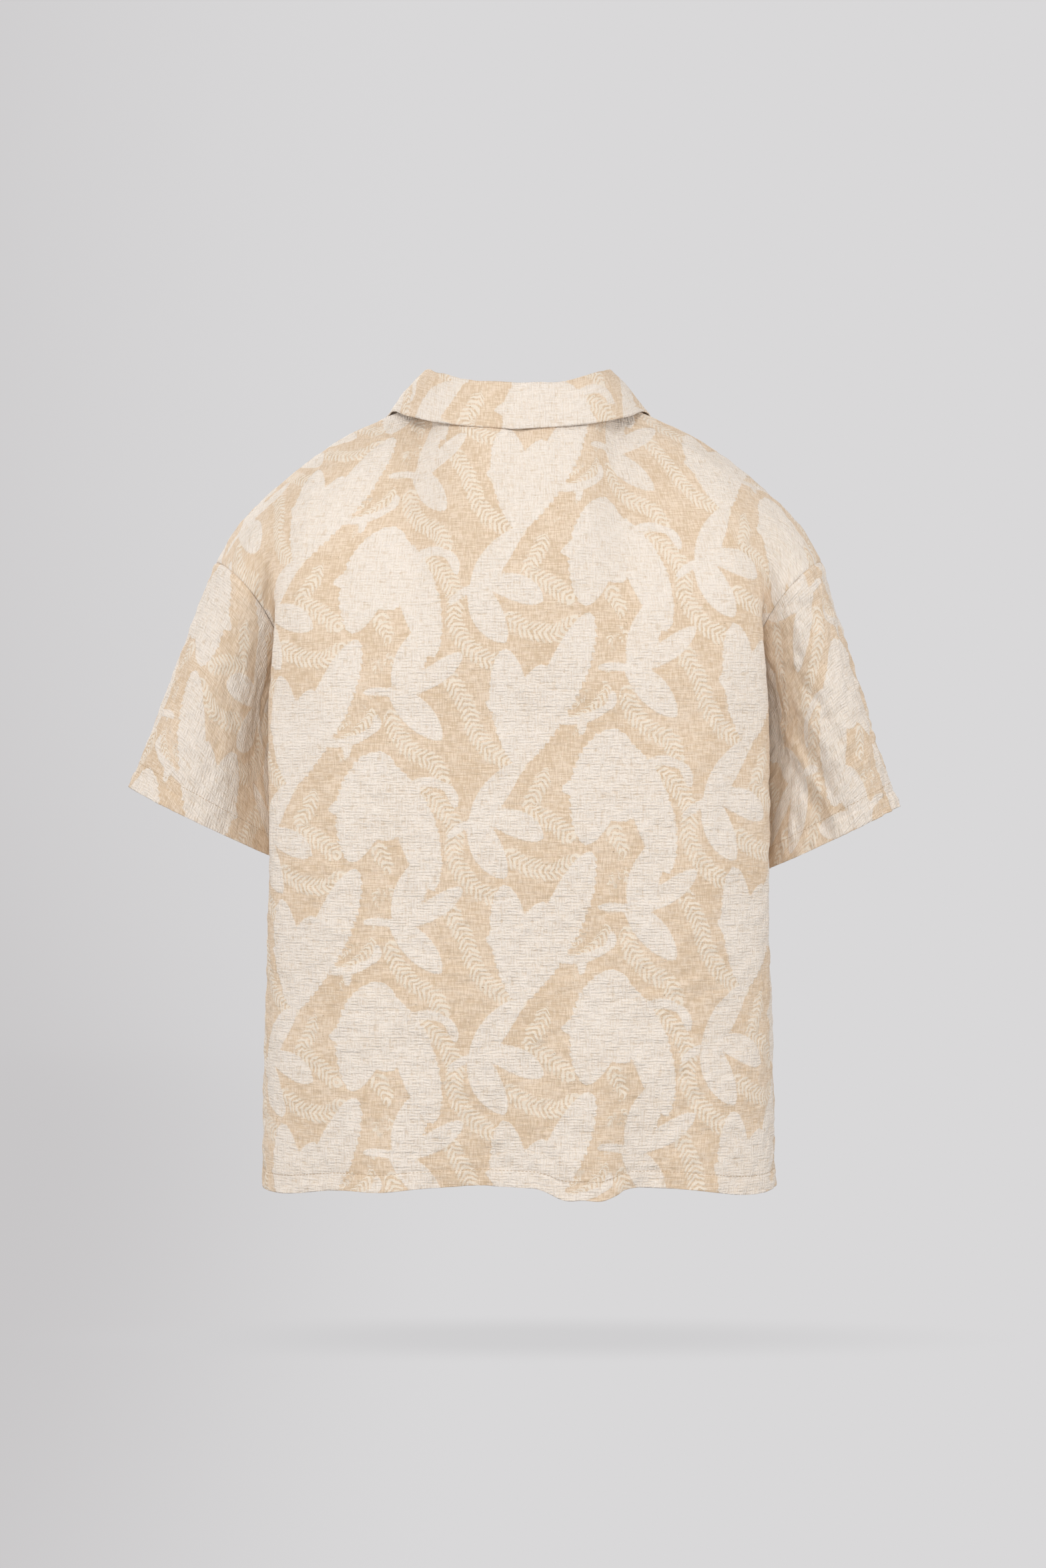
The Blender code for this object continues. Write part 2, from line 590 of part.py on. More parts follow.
def build():
    for old in list(bpy.data.objects):
        bpy.data.objects.remove(old)
    make_body_and_sleeves()
    for side in (1, -1):
        make_revers(side)
    for number in range(BUTTON_COUNT):
        make_button(number + 1, FIRST_BUTTON - number * BUTTON_SPACING)


build()
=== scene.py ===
import math

import bmesh
import bpy
import numpy as np
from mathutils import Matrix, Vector


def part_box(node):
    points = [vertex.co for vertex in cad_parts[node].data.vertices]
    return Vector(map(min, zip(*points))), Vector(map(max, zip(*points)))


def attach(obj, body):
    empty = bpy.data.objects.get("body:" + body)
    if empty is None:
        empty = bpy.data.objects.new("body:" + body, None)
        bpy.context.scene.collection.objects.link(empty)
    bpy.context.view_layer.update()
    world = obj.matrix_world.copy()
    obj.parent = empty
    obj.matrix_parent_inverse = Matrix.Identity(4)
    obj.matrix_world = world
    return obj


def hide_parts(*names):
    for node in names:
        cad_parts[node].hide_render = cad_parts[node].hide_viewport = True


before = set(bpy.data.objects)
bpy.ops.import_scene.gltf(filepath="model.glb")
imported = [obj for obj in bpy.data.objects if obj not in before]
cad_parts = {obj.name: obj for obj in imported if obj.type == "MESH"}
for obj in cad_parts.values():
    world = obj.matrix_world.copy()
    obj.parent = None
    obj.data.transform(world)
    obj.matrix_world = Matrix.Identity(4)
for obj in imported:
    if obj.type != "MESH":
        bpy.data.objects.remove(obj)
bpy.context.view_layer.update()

scene = bpy.context.scene


# the cut of the shirt in metres, with the same sizes as its solids
# shares, lapFrom, lapTo and neckAlongCollar are parts of a whole line, and power rounds the torso
cut = {
    "hemLevel": -0.709, "hemDropAtSide": 0.007, "underarmLevel": -0.285, "halfChest": 0.286,
    "wall": 0.0016, "hemWall": 0.0024, "lapGap": 0.0008,
    "halfWidth": 0.236, "reach": 0.117, "power": 3.0, "sideSeamY": -0.012, "dentBreadth": 0.050,
    "hemDropReach": 0.12, "foldClearShare": 0.12, "lapFrom": 0.06, "lapTo": 0.16,
    "overlapShare": 0.056, "reversShare": 0.02, "gorgeShare": 0.19, "notchShare": 0.006, "neckShare": 0.31,
    "neckAlongCollar": 0.54, "cuffHalfDepth": 0.053, "foldRadius": 0.0020, "collarBulge": 0.0018,
    "reversLift": 0.0036,
}
torsoNames = ("level", "halfWidth", "back", "front", "dent")
torsoSections = (
    (-0.720, 0.2355, 0.112, 0.114, 0.000),
    (-0.620, 0.2350, 0.113, 0.116, 0.000),
    (-0.520, 0.2355, 0.114, 0.118, 0.006),
    (-0.450, 0.2400, 0.115, 0.119, 0.020),
    (-0.400, 0.2445, 0.116, 0.120, 0.035),
    (-0.350, 0.2475, 0.116, 0.121, 0.046),
    (-0.315, 0.2480, 0.116, 0.121, 0.049),
    (-0.285, 0.2465, 0.116, 0.121, 0.041),
)
topNames = ("share", "x", "y", "z")
shoulderSeam = (
    (0.31, 0.088, -0.004, 0.009),
    (0.42, 0.117, -0.007, -0.004),
    (0.60, 0.170, -0.009, -0.030),
    (0.80, 0.226, -0.010, -0.073),
    (0.92, 0.262, -0.010, -0.109),
    (1.00, 0.281, -0.010, -0.141),
)
backNeck = (
    (0.00, 0.000, 0.066, -0.012),
    (0.10, 0.033, 0.061, -0.010),
    (0.20, 0.065, 0.040, -0.002),
    (0.31, 0.088, -0.004, 0.009),
)
rollLine = (
    (-0.056, -0.016, -0.1235, -0.172),
    (0.00, 0.000, -0.1220, -0.156),
    (0.10, 0.030, -0.1110, -0.112),
    (0.20, 0.060, -0.0800, -0.056),
    (0.31, 0.088, -0.004, 0.009),
)
pullNames = ("share", "startX", "startY", "startZ", "endX", "endY", "endZ")
backPulls = (
    (0.00, 0.00, 0.03, 0.30, 0.00, -0.15, 0.20),
    (0.31, 0.00, 0.03, 0.32, 0.00, -0.20, 0.10),
    (0.65, 0.00, 0.03, 0.32, 0.02, -0.25, 0.06),
    (0.88, -0.03, 0.08, 0.30, 0.06, -0.30, 0.03),
    (1.00, 0.01, 0.13, 0.28, 0.06, -0.42, 0.02),
)
frontPulls = (
    (-0.056, 0.00, -0.01, 0.12, 0.00, 0.01, 0.12),
    (0.00, 0.00, -0.01, 0.14, 0.00, 0.02, 0.14),
    (0.10, 0.00, -0.01, 0.19, 0.00, 0.06, 0.17),
    (0.20, 0.00, -0.02, 0.24, 0.00, 0.12, 0.20),
    (0.31, 0.00, -0.02, 0.30, 0.00, 0.22, 0.14),
    (0.65, 0.00, -0.02, 0.32, 0.02, 0.25, 0.06),
    (0.88, -0.03, -0.06, 0.30, 0.06, 0.30, 0.03),
    (1.00, 0.01, -0.12, 0.28, 0.06, 0.40, 0.02),
)
foldNames = ("place", "breadth", "push", "drop", "reach")
backFolds = (
    (-0.040, 0.016, 0.007, 0.010, 0.20),
    (-0.068, 0.018, 0.009, 0.011, 0.22),
    (-0.105, 0.022, -0.006, 0.000, 0.18),
    (-0.200, 0.050, 0.006, 0.008, 0.22),
    (0.035, 0.026, -0.005, -0.002, 0.18),
    (0.118, 0.030, 0.008, 0.004, 0.26),
    (0.205, 0.045, 0.005, 0.007, 0.20),
)
frontFolds = (
    (0.115, 0.036, 0.010, 0.006, 0.24),
    (0.200, 0.032, -0.005, -0.001, 0.18),
    (-0.105, 0.034, -0.006, -0.001, 0.20),
    (-0.180, 0.036, 0.009, 0.006, 0.22),
)
cuffs = {
    1: (np.array((0.2275, -0.022, -0.4150)), np.array((0.3620, -0.022, -0.3500))),
    -1: (np.array((0.2290, -0.022, -0.4270)), np.array((0.3520, -0.022, -0.3685))),
}
underarmPull = np.array((0.75, 0, -0.55))
# turn and breadth are radians round the sleeve; deepest, foldReach and foldClear are shares of its length
sleeveFoldNames = ("turn", "breadth", "push", "deepest")
foldReach, foldClear = 0.35, 0.15
sleeveFolds = {
    1: ((0.85, 0.30, -0.006, 0.55), (1.75, 0.45, 0.003, 0.70), (5.20, 0.35, -0.004, 0.55)),
    -1: ((0.80, 0.28, -0.004, 0.45), (1.45, 0.26, -0.004, 0.80), (2.20, 0.30, 0.003, 0.60),
         (5.10, 0.35, -0.005, 0.55)),
}
collarNames = ("along", "foldX", "foldY", "foldZ", "edgeX", "edgeY", "edgeZ")
collarSections = (
    (0.00, 0.000, 0.062, 0.018, 0.000, 0.082, -0.026),
    (0.20, 0.042, 0.055, 0.021, 0.060, 0.067, -0.0205),
    (0.40, 0.074, 0.028, 0.032, 0.101, 0.036, -0.0098),
    (0.54, 0.084, -0.006, 0.037, 0.118, -0.006, -0.0014),
    (0.72, 0.081, -0.040, 0.016, 0.131, -0.038, -0.021),
    (0.86, 0.073, -0.064, -0.012, 0.135, -0.064, -0.044),
    (1.00, 0.061, -0.086, -0.044, 0.130, -0.083, -0.068),
)
reversNames = ("share", "x", "z")
reversEdge = (
    (0.02, 0.016, -0.161),
    (0.08, 0.058, -0.147),
    (0.14, 0.099, -0.122),
    (0.19, 0.126, -0.088),
)


def hermite(start, startPull, end, endPull, t):
    return ((2 * t**3 - 3 * t**2 + 1) * start + (t**3 - 2 * t**2 + t) * startPull
            + (3 * t**2 - 2 * t**3) * end + (t**3 - t**2) * endPull)


def readTable(rows, names, wanted, at):
    key = np.array([row[0] for row in rows])
    value = np.array([row[names.index(wanted)] for row in rows])
    slope = np.gradient(value, key)
    at = np.clip(at, key[0], key[-1])
    low = np.clip(np.searchsorted(key, at, side="right") - 1, 0, len(key) - 2)
    high = low + 1
    span = key[high] - key[low]
    return hermite(value[low], slope[low] * span, value[high], slope[high] * span, (at - key[low]) / span)


def unit(vectors):
    return vectors / np.maximum(np.linalg.norm(vectors, axis=-1, keepdims=True), 1e-9)


def smooth(t):
    t = np.clip(t, 0, 1)
    return t * t * (3 - 2 * t)


def sectionAngle(share):
    # equal shares of the way round a torso section
    samples = 400
    angle = np.linspace(math.pi / 2, 0, samples)
    x = cut["halfWidth"] * np.cos(angle) ** (2 / cut["power"])
    y = cut["reach"] * np.sin(angle) ** (2 / cut["power"])
    length = lengthAlong(np.column_stack([x, y]))
    return np.interp(share, length / length[-1], angle)


def torsoPoint(face, share, level):
    angle = sectionAngle(np.abs(share))
    halfWidth = readTable(torsoSections, torsoNames, "halfWidth", level)
    reach = readTable(torsoSections, torsoNames, "back" if face > 0 else "front", level)
    dent = readTable(torsoSections, torsoNames, "dent", level)
    x = halfWidth * np.cos(angle) ** (2 / cut["power"])
    y = cut["sideSeamY"] + (face * reach - cut["sideSeamY"]) * np.sin(angle) ** (2 / cut["power"])
    x = x - dent * np.exp(-((y - cut["sideSeamY"]) / cut["dentBreadth"]) ** 2)
    return np.stack([x * np.where(share < 0, -1, 1), y, level + 0 * x], axis=-1)


def upperPoint(face, share, rise):
    start = torsoPoint(face, share, cut["underarmLevel"] + 0 * share)
    neck = backNeck if face > 0 else rollLine
    pulls = backPulls if face > 0 else frontPulls
    axes = []
    for index, axis in enumerate("xyz"):
        end = np.where(share < cut["neckShare"], readTable(neck, topNames, axis, share),
                       readTable(shoulderSeam, topNames, axis, share))
        startPull = readTable(pulls, pullNames, "start" + axis.upper(), share)
        endPull = readTable(pulls, pullNames, "end" + axis.upper(), share)
        axes.append(hermite(start[..., index], startPull, end, endPull, rise))
    return np.stack(axes, axis=-1)


def bodyPoint(face, side, share, height):
    # share from the middle to the side; height 0 at the hem, 1 at the underarm, 2 at the top
    share, height = np.broadcast_arrays(np.asarray(share, float), np.asarray(height, float))
    hem = cut["hemLevel"] - cut["hemDropAtSide"] * share**4
    level = hem + (cut["underarmLevel"] - hem) * np.clip(height, 0, 1)
    lower = torsoPoint(face, share, level)
    upper = upperPoint(face, share, np.clip(height - 1, 0, 1))
    points = np.where((height <= 1)[..., None], lower, upper) * np.array((side, 1, 1))
    aboveHem = np.clip(height, 0, 1) * (cut["underarmLevel"] - cut["hemLevel"])
    place = side * share * cut["halfChest"]
    inward = np.clip((1 - share) / cut["foldClearShare"], 0, 1)
    outward = unit(points * np.array((1 / cut["halfWidth"]**2, 1 / cut["reach"]**2, 0)))
    for row in backFolds if face > 0 else frontFolds:
        fold = dict(zip(foldNames, row))
        shape = inward * np.exp(-((place - fold["place"]) / fold["breadth"]) ** 2)
        fade = np.clip(1 - aboveHem / fold["reach"], 0, 1) ** 2
        points = points + outward * (fold["push"] * shape * fade)[..., None]
        points[..., 2] -= fold["drop"] * shape * np.clip(1 - aboveHem / cut["hemDropReach"], 0, 1) ** 2
    if face < 0:
        lap = smooth((cut["lapTo"] - share) / (cut["lapTo"] - cut["lapFrom"]))
        points[..., 1] -= side * (cut["hemWall"] + cut["lapGap"]) / 2 * lap
    return points


def gridNormals(points, sign, ring=False):
    down = np.gradient(points, axis=0)
    across = np.gradient(points, axis=1)
    if ring:
        across = (np.roll(points, -1, axis=1) - np.roll(points, 1, axis=1)) / 2
    return unit(np.cross(down, across)) * sign


def lengthAlong(points):
    # real length from the first point of a line to each of its points
    return np.concatenate(([0], np.cumsum(np.linalg.norm(np.diff(points, axis=0), axis=-1))))


def gridLengths(points):
    # real length along the rows and up the columns, in metres
    across = np.linalg.norm(np.diff(points, axis=1), axis=-1)
    along = np.linalg.norm(np.diff(points, axis=0), axis=-1)
    u = np.concatenate([np.zeros((len(points), 1)), np.cumsum(across, axis=1)], axis=1)
    v = np.concatenate([np.zeros((1, points.shape[1])), np.cumsum(along, axis=0)], axis=0)
    return u, v


sewnEdge = (0, 0.0008, 0.0018, 0.0032)


def spacedLine(length, spacing, edge=sewnEdge, far=True):
    # distances along a line, close together at its sewn ends
    start = np.array(edge)
    end = length - start[::-1] if far else np.array([length])
    count = max(2, int(round((end[0] - start[-1]) / spacing)))
    return np.concatenate([start, np.linspace(start[-1], end[0], count + 1)[1:-1], end])


# crinkles that are pressed into the cloth: cells is the repeat of their noise, startU where it begins
crinkle = {
    "cellWide": 0.0075, "cellTall": 0.0115, "depth": 0.00060, "fineCell": 0.0050, "fineDepth": 0.00034,
    "broadCell": 0.045, "broadStretch": 1.4, "broadDepth": 0.0011,
    "biasAlong": 0.94, "biasAcross": 0.34, "cells": 128, "startU": 1000.37, "startV": 1000.71,
    "seamFlat": 0.006, "seamStart": 0.2,
}
# seeds of the noise; fronts, sleeves and revers add 1 on the left and take 1 off on the right
seeds = {"back": 11, "front": 31, "sleeve": 51, "collar": 95, "collarFall": 96, "revers": 105,
         "backHem": 51, "frontHem": 61, "sleeveHem": 71}


def lattice(u, v, cellU, cellV, seed):
    # smooth noise from -1 to 1 on a fixed lattice
    cells = crinkle["cells"]
    values = np.random.default_rng(seed).uniform(-1, 1, (cells, cells))
    x, y = u / cellU + crinkle["startU"], v / cellV + crinkle["startV"]
    column, row = np.floor(x).astype(int), np.floor(y).astype(int)
    shareX, shareY = smooth(x - column), smooth(y - row)
    column, row, nextColumn, nextRow = column % cells, row % cells, (column + 1) % cells, (row + 1) % cells
    low = values[row, column] * (1 - shareX) + values[row, nextColumn] * shareX
    high = values[nextRow, column] * (1 - shareX) + values[nextRow, nextColumn] * shareX
    return low * (1 - shareY) + high * shareY


def crinkleHeight(u, v, seed):
    # small, crossing, fine and broad waves added up
    turnedU = u * crinkle["biasAlong"] + v * crinkle["biasAcross"]
    turnedV = v * crinkle["biasAlong"] - u * crinkle["biasAcross"]
    small = lattice(u, v, crinkle["cellWide"], crinkle["cellTall"], seed)
    cross = lattice(turnedU, turnedV, crinkle["cellTall"], crinkle["cellWide"], seed + 1)
    fine = lattice(turnedU, turnedV, crinkle["fineCell"], crinkle["fineCell"], seed + 2)
    broad = lattice(u, v, crinkle["broadCell"], crinkle["broadCell"] * crinkle["broadStretch"], seed + 3)
    return (small + cross) * crinkle["depth"] + fine * crinkle["fineDepth"] + broad * crinkle["broadDepth"]


def flatToSeam(distance):
    # crinkles fade where the cloth is held by a seam
    return smooth(distance / crinkle["seamFlat"] + crinkle["seamStart"])


creaseNames = ("x0", "z0", "x1", "z1", "breadth", "push")
backCreases = (
    (0.205, -0.300, 0.165, -0.420, 0.012, -0.0016),
    (-0.205, -0.300, -0.175, -0.420, 0.012, -0.0016),
    (0.190, -0.250, 0.150, -0.330, 0.010, 0.0012),
    (-0.190, -0.250, -0.150, -0.350, 0.010, 0.0012),
)


def creaseHeight(points, normals, creases, facing):
    # each crease is a soft trough or ridge along a line seen from the back or the front
    fullFacing, taperPower = 0.35, 0.7
    total = np.zeros(points.shape[:2])
    seen = smooth(facing * normals[..., 1] / fullFacing)
    for row in creases:
        crease = dict(zip(creaseNames, row))
        start = np.array((crease["x0"], crease["z0"]))
        run = np.array((crease["x1"], crease["z1"])) - start
        length = np.linalg.norm(run)
        along = ((points[..., 0] - start[0]) * run[0] + (points[..., 2] - start[1]) * run[1]) / length**2
        off = ((points[..., 0] - start[0]) * run[1] - (points[..., 2] - start[1]) * run[0]) / length
        taper = np.sin(math.pi * np.clip(along, 0, 1)) ** taperPower
        total += crease["push"] * taper * np.exp(-(off / crease["breadth"]) ** 2)
    return total * seen


# the leaf pattern, drawn as distances in millimetres on the flat cloth
pattern = {
    "wide": 211.0, "tall": 207.0, "toothPitch": 6.5, "bandGap": 9.0, "far": 60.0,
    "riseFrom": -121, "riseLevels": (-700, -580, -360, -140), "rise": (4, 8, 18, 26),
}
# a blade of a leaf: foot and tip in mm, bow to the left, half width, roundness, widest point, and its teeth
bladeNames = ("footU", "footV", "tipU", "tipV", "bow", "half", "roundness", "skew", "teethLeft", "teethRight")
# leaves: where a group's middle lies in the repeat, and its blades
leaves = {
    "cluster": ((-111, -266), (
        (3, -6, 30, 60, 3, 14.5, 0.55, 1.00, 0, 1.2),
        (-2, -3, 61, 29, -3, 9.5, 0.50, 1.40, 0, 0),
        (-5, 5, 42, -45, 1, 12.5, 0.58, 1.05, 0, 0),
        (-29, 4, 6, -2, 2, 3.6, 0.40, 0.80, 0, 0),
    )),
    "notched": ((21, -266), (
        (-20, -75, -35, 29, 1, 18.0, 0.45, 1.10, 2.6, 0),
        (-17, -75, 45, 52, -2, 19.5, 0.46, 1.25, 0, 4.2),
        (-18, -74, 1, 12, 0, 19.0, 0.50, 1.10, 0, 0),
        (-22, -34, -51, -16, -3, 8.0, 0.60, 1.10, 1.6, 0),
        (6, -36, 66, -26, -8, 4.0, 0.25, 1.20, 0, 0),
        (56, -34, 63, -17, -3, 4.4, 0.40, 1.00, 0, 0),
        (38, -34, 35, -53, 0, 3.6, 0.25, 1.00, 0, 0),
    )),
    "drooping": ((-127, -185), (
        (3, 75, -25, -22, -3, 26.5, 0.50, 0.78, 0, 4.0),
        (10, 64, 52, -52, 4, 18.5, 0.50, 1.05, 3.0, 0),
        (-8, 40, 14, -4, 0, 19.0, 0.55, 1.00, 0, 0),
        (0, 44, -46, 27, 4, 10.0, 0.60, 1.20, 0, 1.4),
        (22, 38, 66, 35, 8, 4.4, 0.25, 1.00, 0, 0),
        (60, 42, 71, 19, 2, 4.6, 0.40, 1.00, 0, 0),
    )),
    "winged": ((-33, -180), (
        (-9, -10, 38, 51, 5, 12.5, 0.60, 0.90, 0, 0),
        (-4, 6, 55, -18, 4, 11.5, 0.50, 1.35, 0, 0),
        (-8, 8, 21, -51, -3, 13.5, 0.55, 1.00, 0, 0),
        (-31, -11, -2, 2, 2, 3.8, 0.40, 0.80, 0, 0),
    )),
}
# fern fronds, each a spine of a few points in mm
fronds = (
    ((-60, -52), (-47, -77), (-40, -97), (-28, -116), (-12, -128), (0, -133)),
    ((-115, -80), (-108, -97), (-93, -114), (-76, -124), (-68, -140)),
    ((-95, -148), (-78, -154), (-65, -169), (-57, -186), (-58, -206), (-49, -226), (-33, -242), (-16, -251)),
    ((-125, -17), (-119, -40), (-137, -56), (-133, -72), (-147, -89), (-164, -98)),
    ((-156, -110), (-170, -126), (-184, -134)),
    ((54, -104), (44, -121), (28, -133), (19, -154), (10, -171), (28, -184), (46, -199)),
    ((43, -78), (66, -72), (80, -52), (88, -36)),
    ((86, -222), (96, -238), (86, -256), (74, -274), (50, -292)),
    ((-125, -199), (-119, -218), (-127, -238), (-129, -258)),
    ((-8, -212), (12, -224), (34, -228), (50, -220)),
)


def bladeDistance(u, v, blade):
    # below 0 inside the blade, whose spine bows to one side
    runU, runV = blade["tipU"] - blade["footU"], blade["tipV"] - blade["footV"]
    length = math.hypot(runU, runV)
    runU, runV = runU / length, runV / length
    t = ((u - blade["footU"]) * runU + (v - blade["footV"]) * runV) / length
    side = (v - blade["footV"]) * runU - (u - blade["footU"]) * runV
    inside = np.clip(t, 0, 1)
    side = side - blade["bow"] * 4 * inside * (1 - inside)
    width = blade["half"] * np.maximum(np.sin(math.pi * inside ** blade["skew"]), 0) ** blade["roundness"]
    tooth = (inside * length / pattern["toothPitch"]) % 1
    width = width - np.where(side > 0, blade["teethLeft"], blade["teethRight"]) * tooth
    over = np.abs(t - inside) * length
    gap = np.abs(side) - width
    return np.where(over > 0, np.hypot(np.maximum(gap, 0), over), gap)


def wrapped(distance, size):
    return (distance + size / 2) % size - size / 2


def rounded(spine, parts=4):
    # a soft curve through the points of a spine
    place = np.arange(len(spine))
    fine = np.linspace(0, len(spine) - 1, parts * (len(spine) - 1) + 1)
    rows = [tuple(row) for row in np.column_stack([place, spine])]
    return np.stack([readTable(rows, ("place", "u", "v"), axis, fine) for axis in "uv"], axis=-1)


def patternFields(u, v):
    # u and v in mm; returns the distance to the leaves, and the place across and along the nearest frond
    far = np.full(u.shape, pattern["far"])
    leaf = far
    for (centreU, centreV), blades in leaves.values():
        du, dv = wrapped(u - centreU, pattern["wide"]), wrapped(v - centreV, pattern["tall"])
        for row in blades:
            leaf = np.minimum(leaf, bladeDistance(du, dv, dict(zip(bladeNames, row))))
    nearest, second, along = far, far, np.zeros(u.shape)
    for spine in fronds:
        spine = rounded(np.array(spine, float))
        middle = spine.mean(axis=0)
        du, dv = wrapped(u - middle[0], pattern["wide"]), wrapped(v - middle[1], pattern["tall"])
        across, here, passed = far, np.zeros(u.shape), 0.0
        for start, end in zip(spine[:-1] - middle, spine[1:] - middle):
            length = math.hypot(*(end - start))
            run = (end - start) / length
            t = np.clip((du - start[0]) * run[0] + (dv - start[1]) * run[1], 0, length)
            off = np.hypot(du - start[0] - t * run[0], dv - start[1] - t * run[1])
            here = np.where(off < across, passed + t, here)
            across = np.minimum(across, off)
            passed += length
        second = np.minimum(second, np.maximum(nearest, across))
        along = np.where(across < nearest, here, along)
        nearest = np.minimum(nearest, across)
    # a band ends a little before it meets the next one
    between = pattern["bandGap"] * smooth(1 - (second - nearest) / pattern["bandGap"])
    return leaf, nearest + between, along


# the cloth wall of a piece
def meshFrom(name, vertices, faces, material, mergeWithin=0.0):
    # a smooth mesh with its faces pointing outwards
    mesh = bpy.data.meshes.new(name)
    mesh.from_pydata(vertices, [], faces)
    editor = bmesh.new()
    editor.from_mesh(mesh)
    if mergeWithin:
        bmesh.ops.remove_doubles(editor, verts=editor.verts, dist=mergeWithin)
    bmesh.ops.recalc_face_normals(editor, faces=editor.faces)
    if not mergeWithin and editor.calc_volume(signed=True) < 0:
        bmesh.ops.reverse_faces(editor, faces=editor.faces)
    editor.to_mesh(mesh)
    editor.free()
    mesh.shade_smooth()
    mesh.materials.append(material)
    return mesh


def borderFaces(fine, coarse, picks):
    # joins a fine edge to a coarse one
    faces = []
    for index in range(len(picks) - 1):
        first, last = picks[index], picks[index + 1]
        middle = (first + last) // 2
        for place in range(first, last):
            near = coarse[index] if place < middle else coarse[index + 1]
            faces.append((fine[place], fine[place + 1], near))
        faces.append((coarse[index], fine[middle], coarse[index + 1]))
    return faces


def quadFaces(ids):
    return np.stack([ids[:-1, :-1], ids[:-1, 1:], ids[1:, 1:], ids[1:, :-1]], axis=-1).reshape(-1, 4).tolist()


def picked(count, step):
    picks = list(range(0, count - 1, step))
    if len(picks) > 1 and count - 1 - picks[-1] < step / 2:
        picks.pop()
    return picks + [count - 1]


def makeShell(name, outer, inner, fields, material, ring=False, step=2):
    # a closed cloth wall: a fine outer face, a coarser inner face and the rims between them
    rows, columns = outer.shape[:2]
    rowPicks, columnPicks = picked(rows, step), picked(columns, step)
    if ring:
        columnPicks = list(range(0, columns, step))
    kept = np.ix_(rowPicks, columnPicks)
    inner = inner[kept]
    count = rows * columns
    fine = np.arange(count).reshape(rows, columns)
    coarse = count + np.arange(inner.shape[0] * inner.shape[1]).reshape(inner.shape[:2])
    if ring:
        fine = np.concatenate([fine, fine[:, :1]], axis=1)
        coarse = np.concatenate([coarse, coarse[:, :1]], axis=1)
        columnPicks = columnPicks + [columns]
    faces = quadFaces(fine) + [face[::-1] for face in quadFaces(coarse)]
    edges = [(fine[0], coarse[0], columnPicks), (fine[-1], coarse[-1], columnPicks)]
    if not ring:
        edges += [(fine[:, 0], coarse[:, 0], rowPicks), (fine[:, -1], coarse[:, -1], rowPicks)]
    for fineEdge, coarseEdge, picks in edges:
        faces += borderFaces([int(i) for i in fineEdge], [int(i) for i in coarseEdge], picks)
    vertices = np.concatenate([outer.reshape(-1, 3), inner.reshape(-1, 3)])
    mesh = meshFrom(name, vertices.tolist(), faces, material)
    for label, values in fields.items():
        both = np.concatenate([values.reshape(-1, 3), values[kept].reshape(-1, 3)])
        layer = mesh.attributes.new(label, "FLOAT_VECTOR", "POINT")
        layer.data.foreach_set("vector", both.astype(np.float32).ravel())
    piece = bpy.data.objects.new(name, mesh)
    scene.collection.objects.link(piece)
    return piece


# materials
def hexToLinear(code):
    levels = [int(code[i:i + 2], 16) / 255 for i in (1, 3, 5)]
    return tuple(c / 12.92 if c <= 0.04045 else ((c + 0.055) / 1.055) ** 2.4 for c in levels) + (1.0,)


def addNode(tree, kind, inputs=None, **settings):
    # a node with its settings; an input is a value or another node's output
    node = tree.nodes.new(kind)
    for key, value in settings.items():
        setattr(node, key, value)
    for key, value in (inputs or {}).items():
        if isinstance(value, bpy.types.NodeSocket):
            tree.links.new(value, node.inputs[key])
        else:
            node.inputs[key].default_value = value
    return node


def newMaterial(name):
    material = bpy.data.materials.new(name)
    material.use_nodes = True
    return material, material.node_tree, material.node_tree.nodes["Principled BSDF"]


clothLook = {
    # the hollow colour is painted shade for the deep parts of the crinkles
    "ground": "#EFDAC3", "groundShade": "#DABFA0", "leaf": "#EFE3D6", "leafShade": "#E3D3C1",
    "frond": "#F0E1CE", "hollowShade": "#CBAE8A", "slub": "#86694B",
    # metres: one ridge, two threads of the weave, and a patch whose ridges run one way
    "ridge": 0.0027, "thread": 0.0012, "patch": 0.0065, "patchEdges": (0.46, 0.54), "wanderReach": 0.0022,
    # noise in waves for each metre, 620 being 1.6 mm, 190 about 5 mm and 22 about 45 mm
    "frayScale": 620.0, "curlScale": 190.0, "wanderScale": 150.0, "broadScale": 22.0,
    "weftStreak": (90.0, 900.0, 1.0), "warpStreak": (900.0, 110.0, 1.0), "slubScale": (300.0, 520.0, 1.0),
    "weftCrinkle": (75.0, 300.0, 1.0), "warpCrinkle": (300.0, 75.0, 1.0),
    # millimetres on the pattern: the frayed edge of a leaf, the leaflets of a frond and the edge of its band
    "frayReach": 3.2, "leafEdge": 0.8, "leafletHalfPitch": 2.5, "leafletSlant": -0.8, "leafletCurl": 5.0,
    "leafletEdges": (0.8, 1.5), "bandCurl": 9.0, "bandEdges": (13.5, 11.0),
    # how far each noise tints the cloth
    "broadTint": 0.35, "ridgeTint": 0.09, "groundTones": (0.98, 1.40), "leafTones": (0.85, 1.35),
    "slubTones": (0.725, 0.80), "slubShare": 0.6, "slubOnLeaf": 0.25, "hollowShadeTones": (0.94, 0.66),
    "hollowShadeShare": 0.34,
    # relief, as shares of the bump's depth in metres
    "bumpDepth": 0.0009, "bumpStrength": 0.6, "threadRelief": 0.22, "frondRelief": 0.55, "ridgeRelief": 0.42,
    "leafRaise": 0.6, "crinkleRelief": 3.2,
    "roughness": 0.92, "sheen": 0.10, "sheenRoughness": 0.6, "specular": 0.15,
}


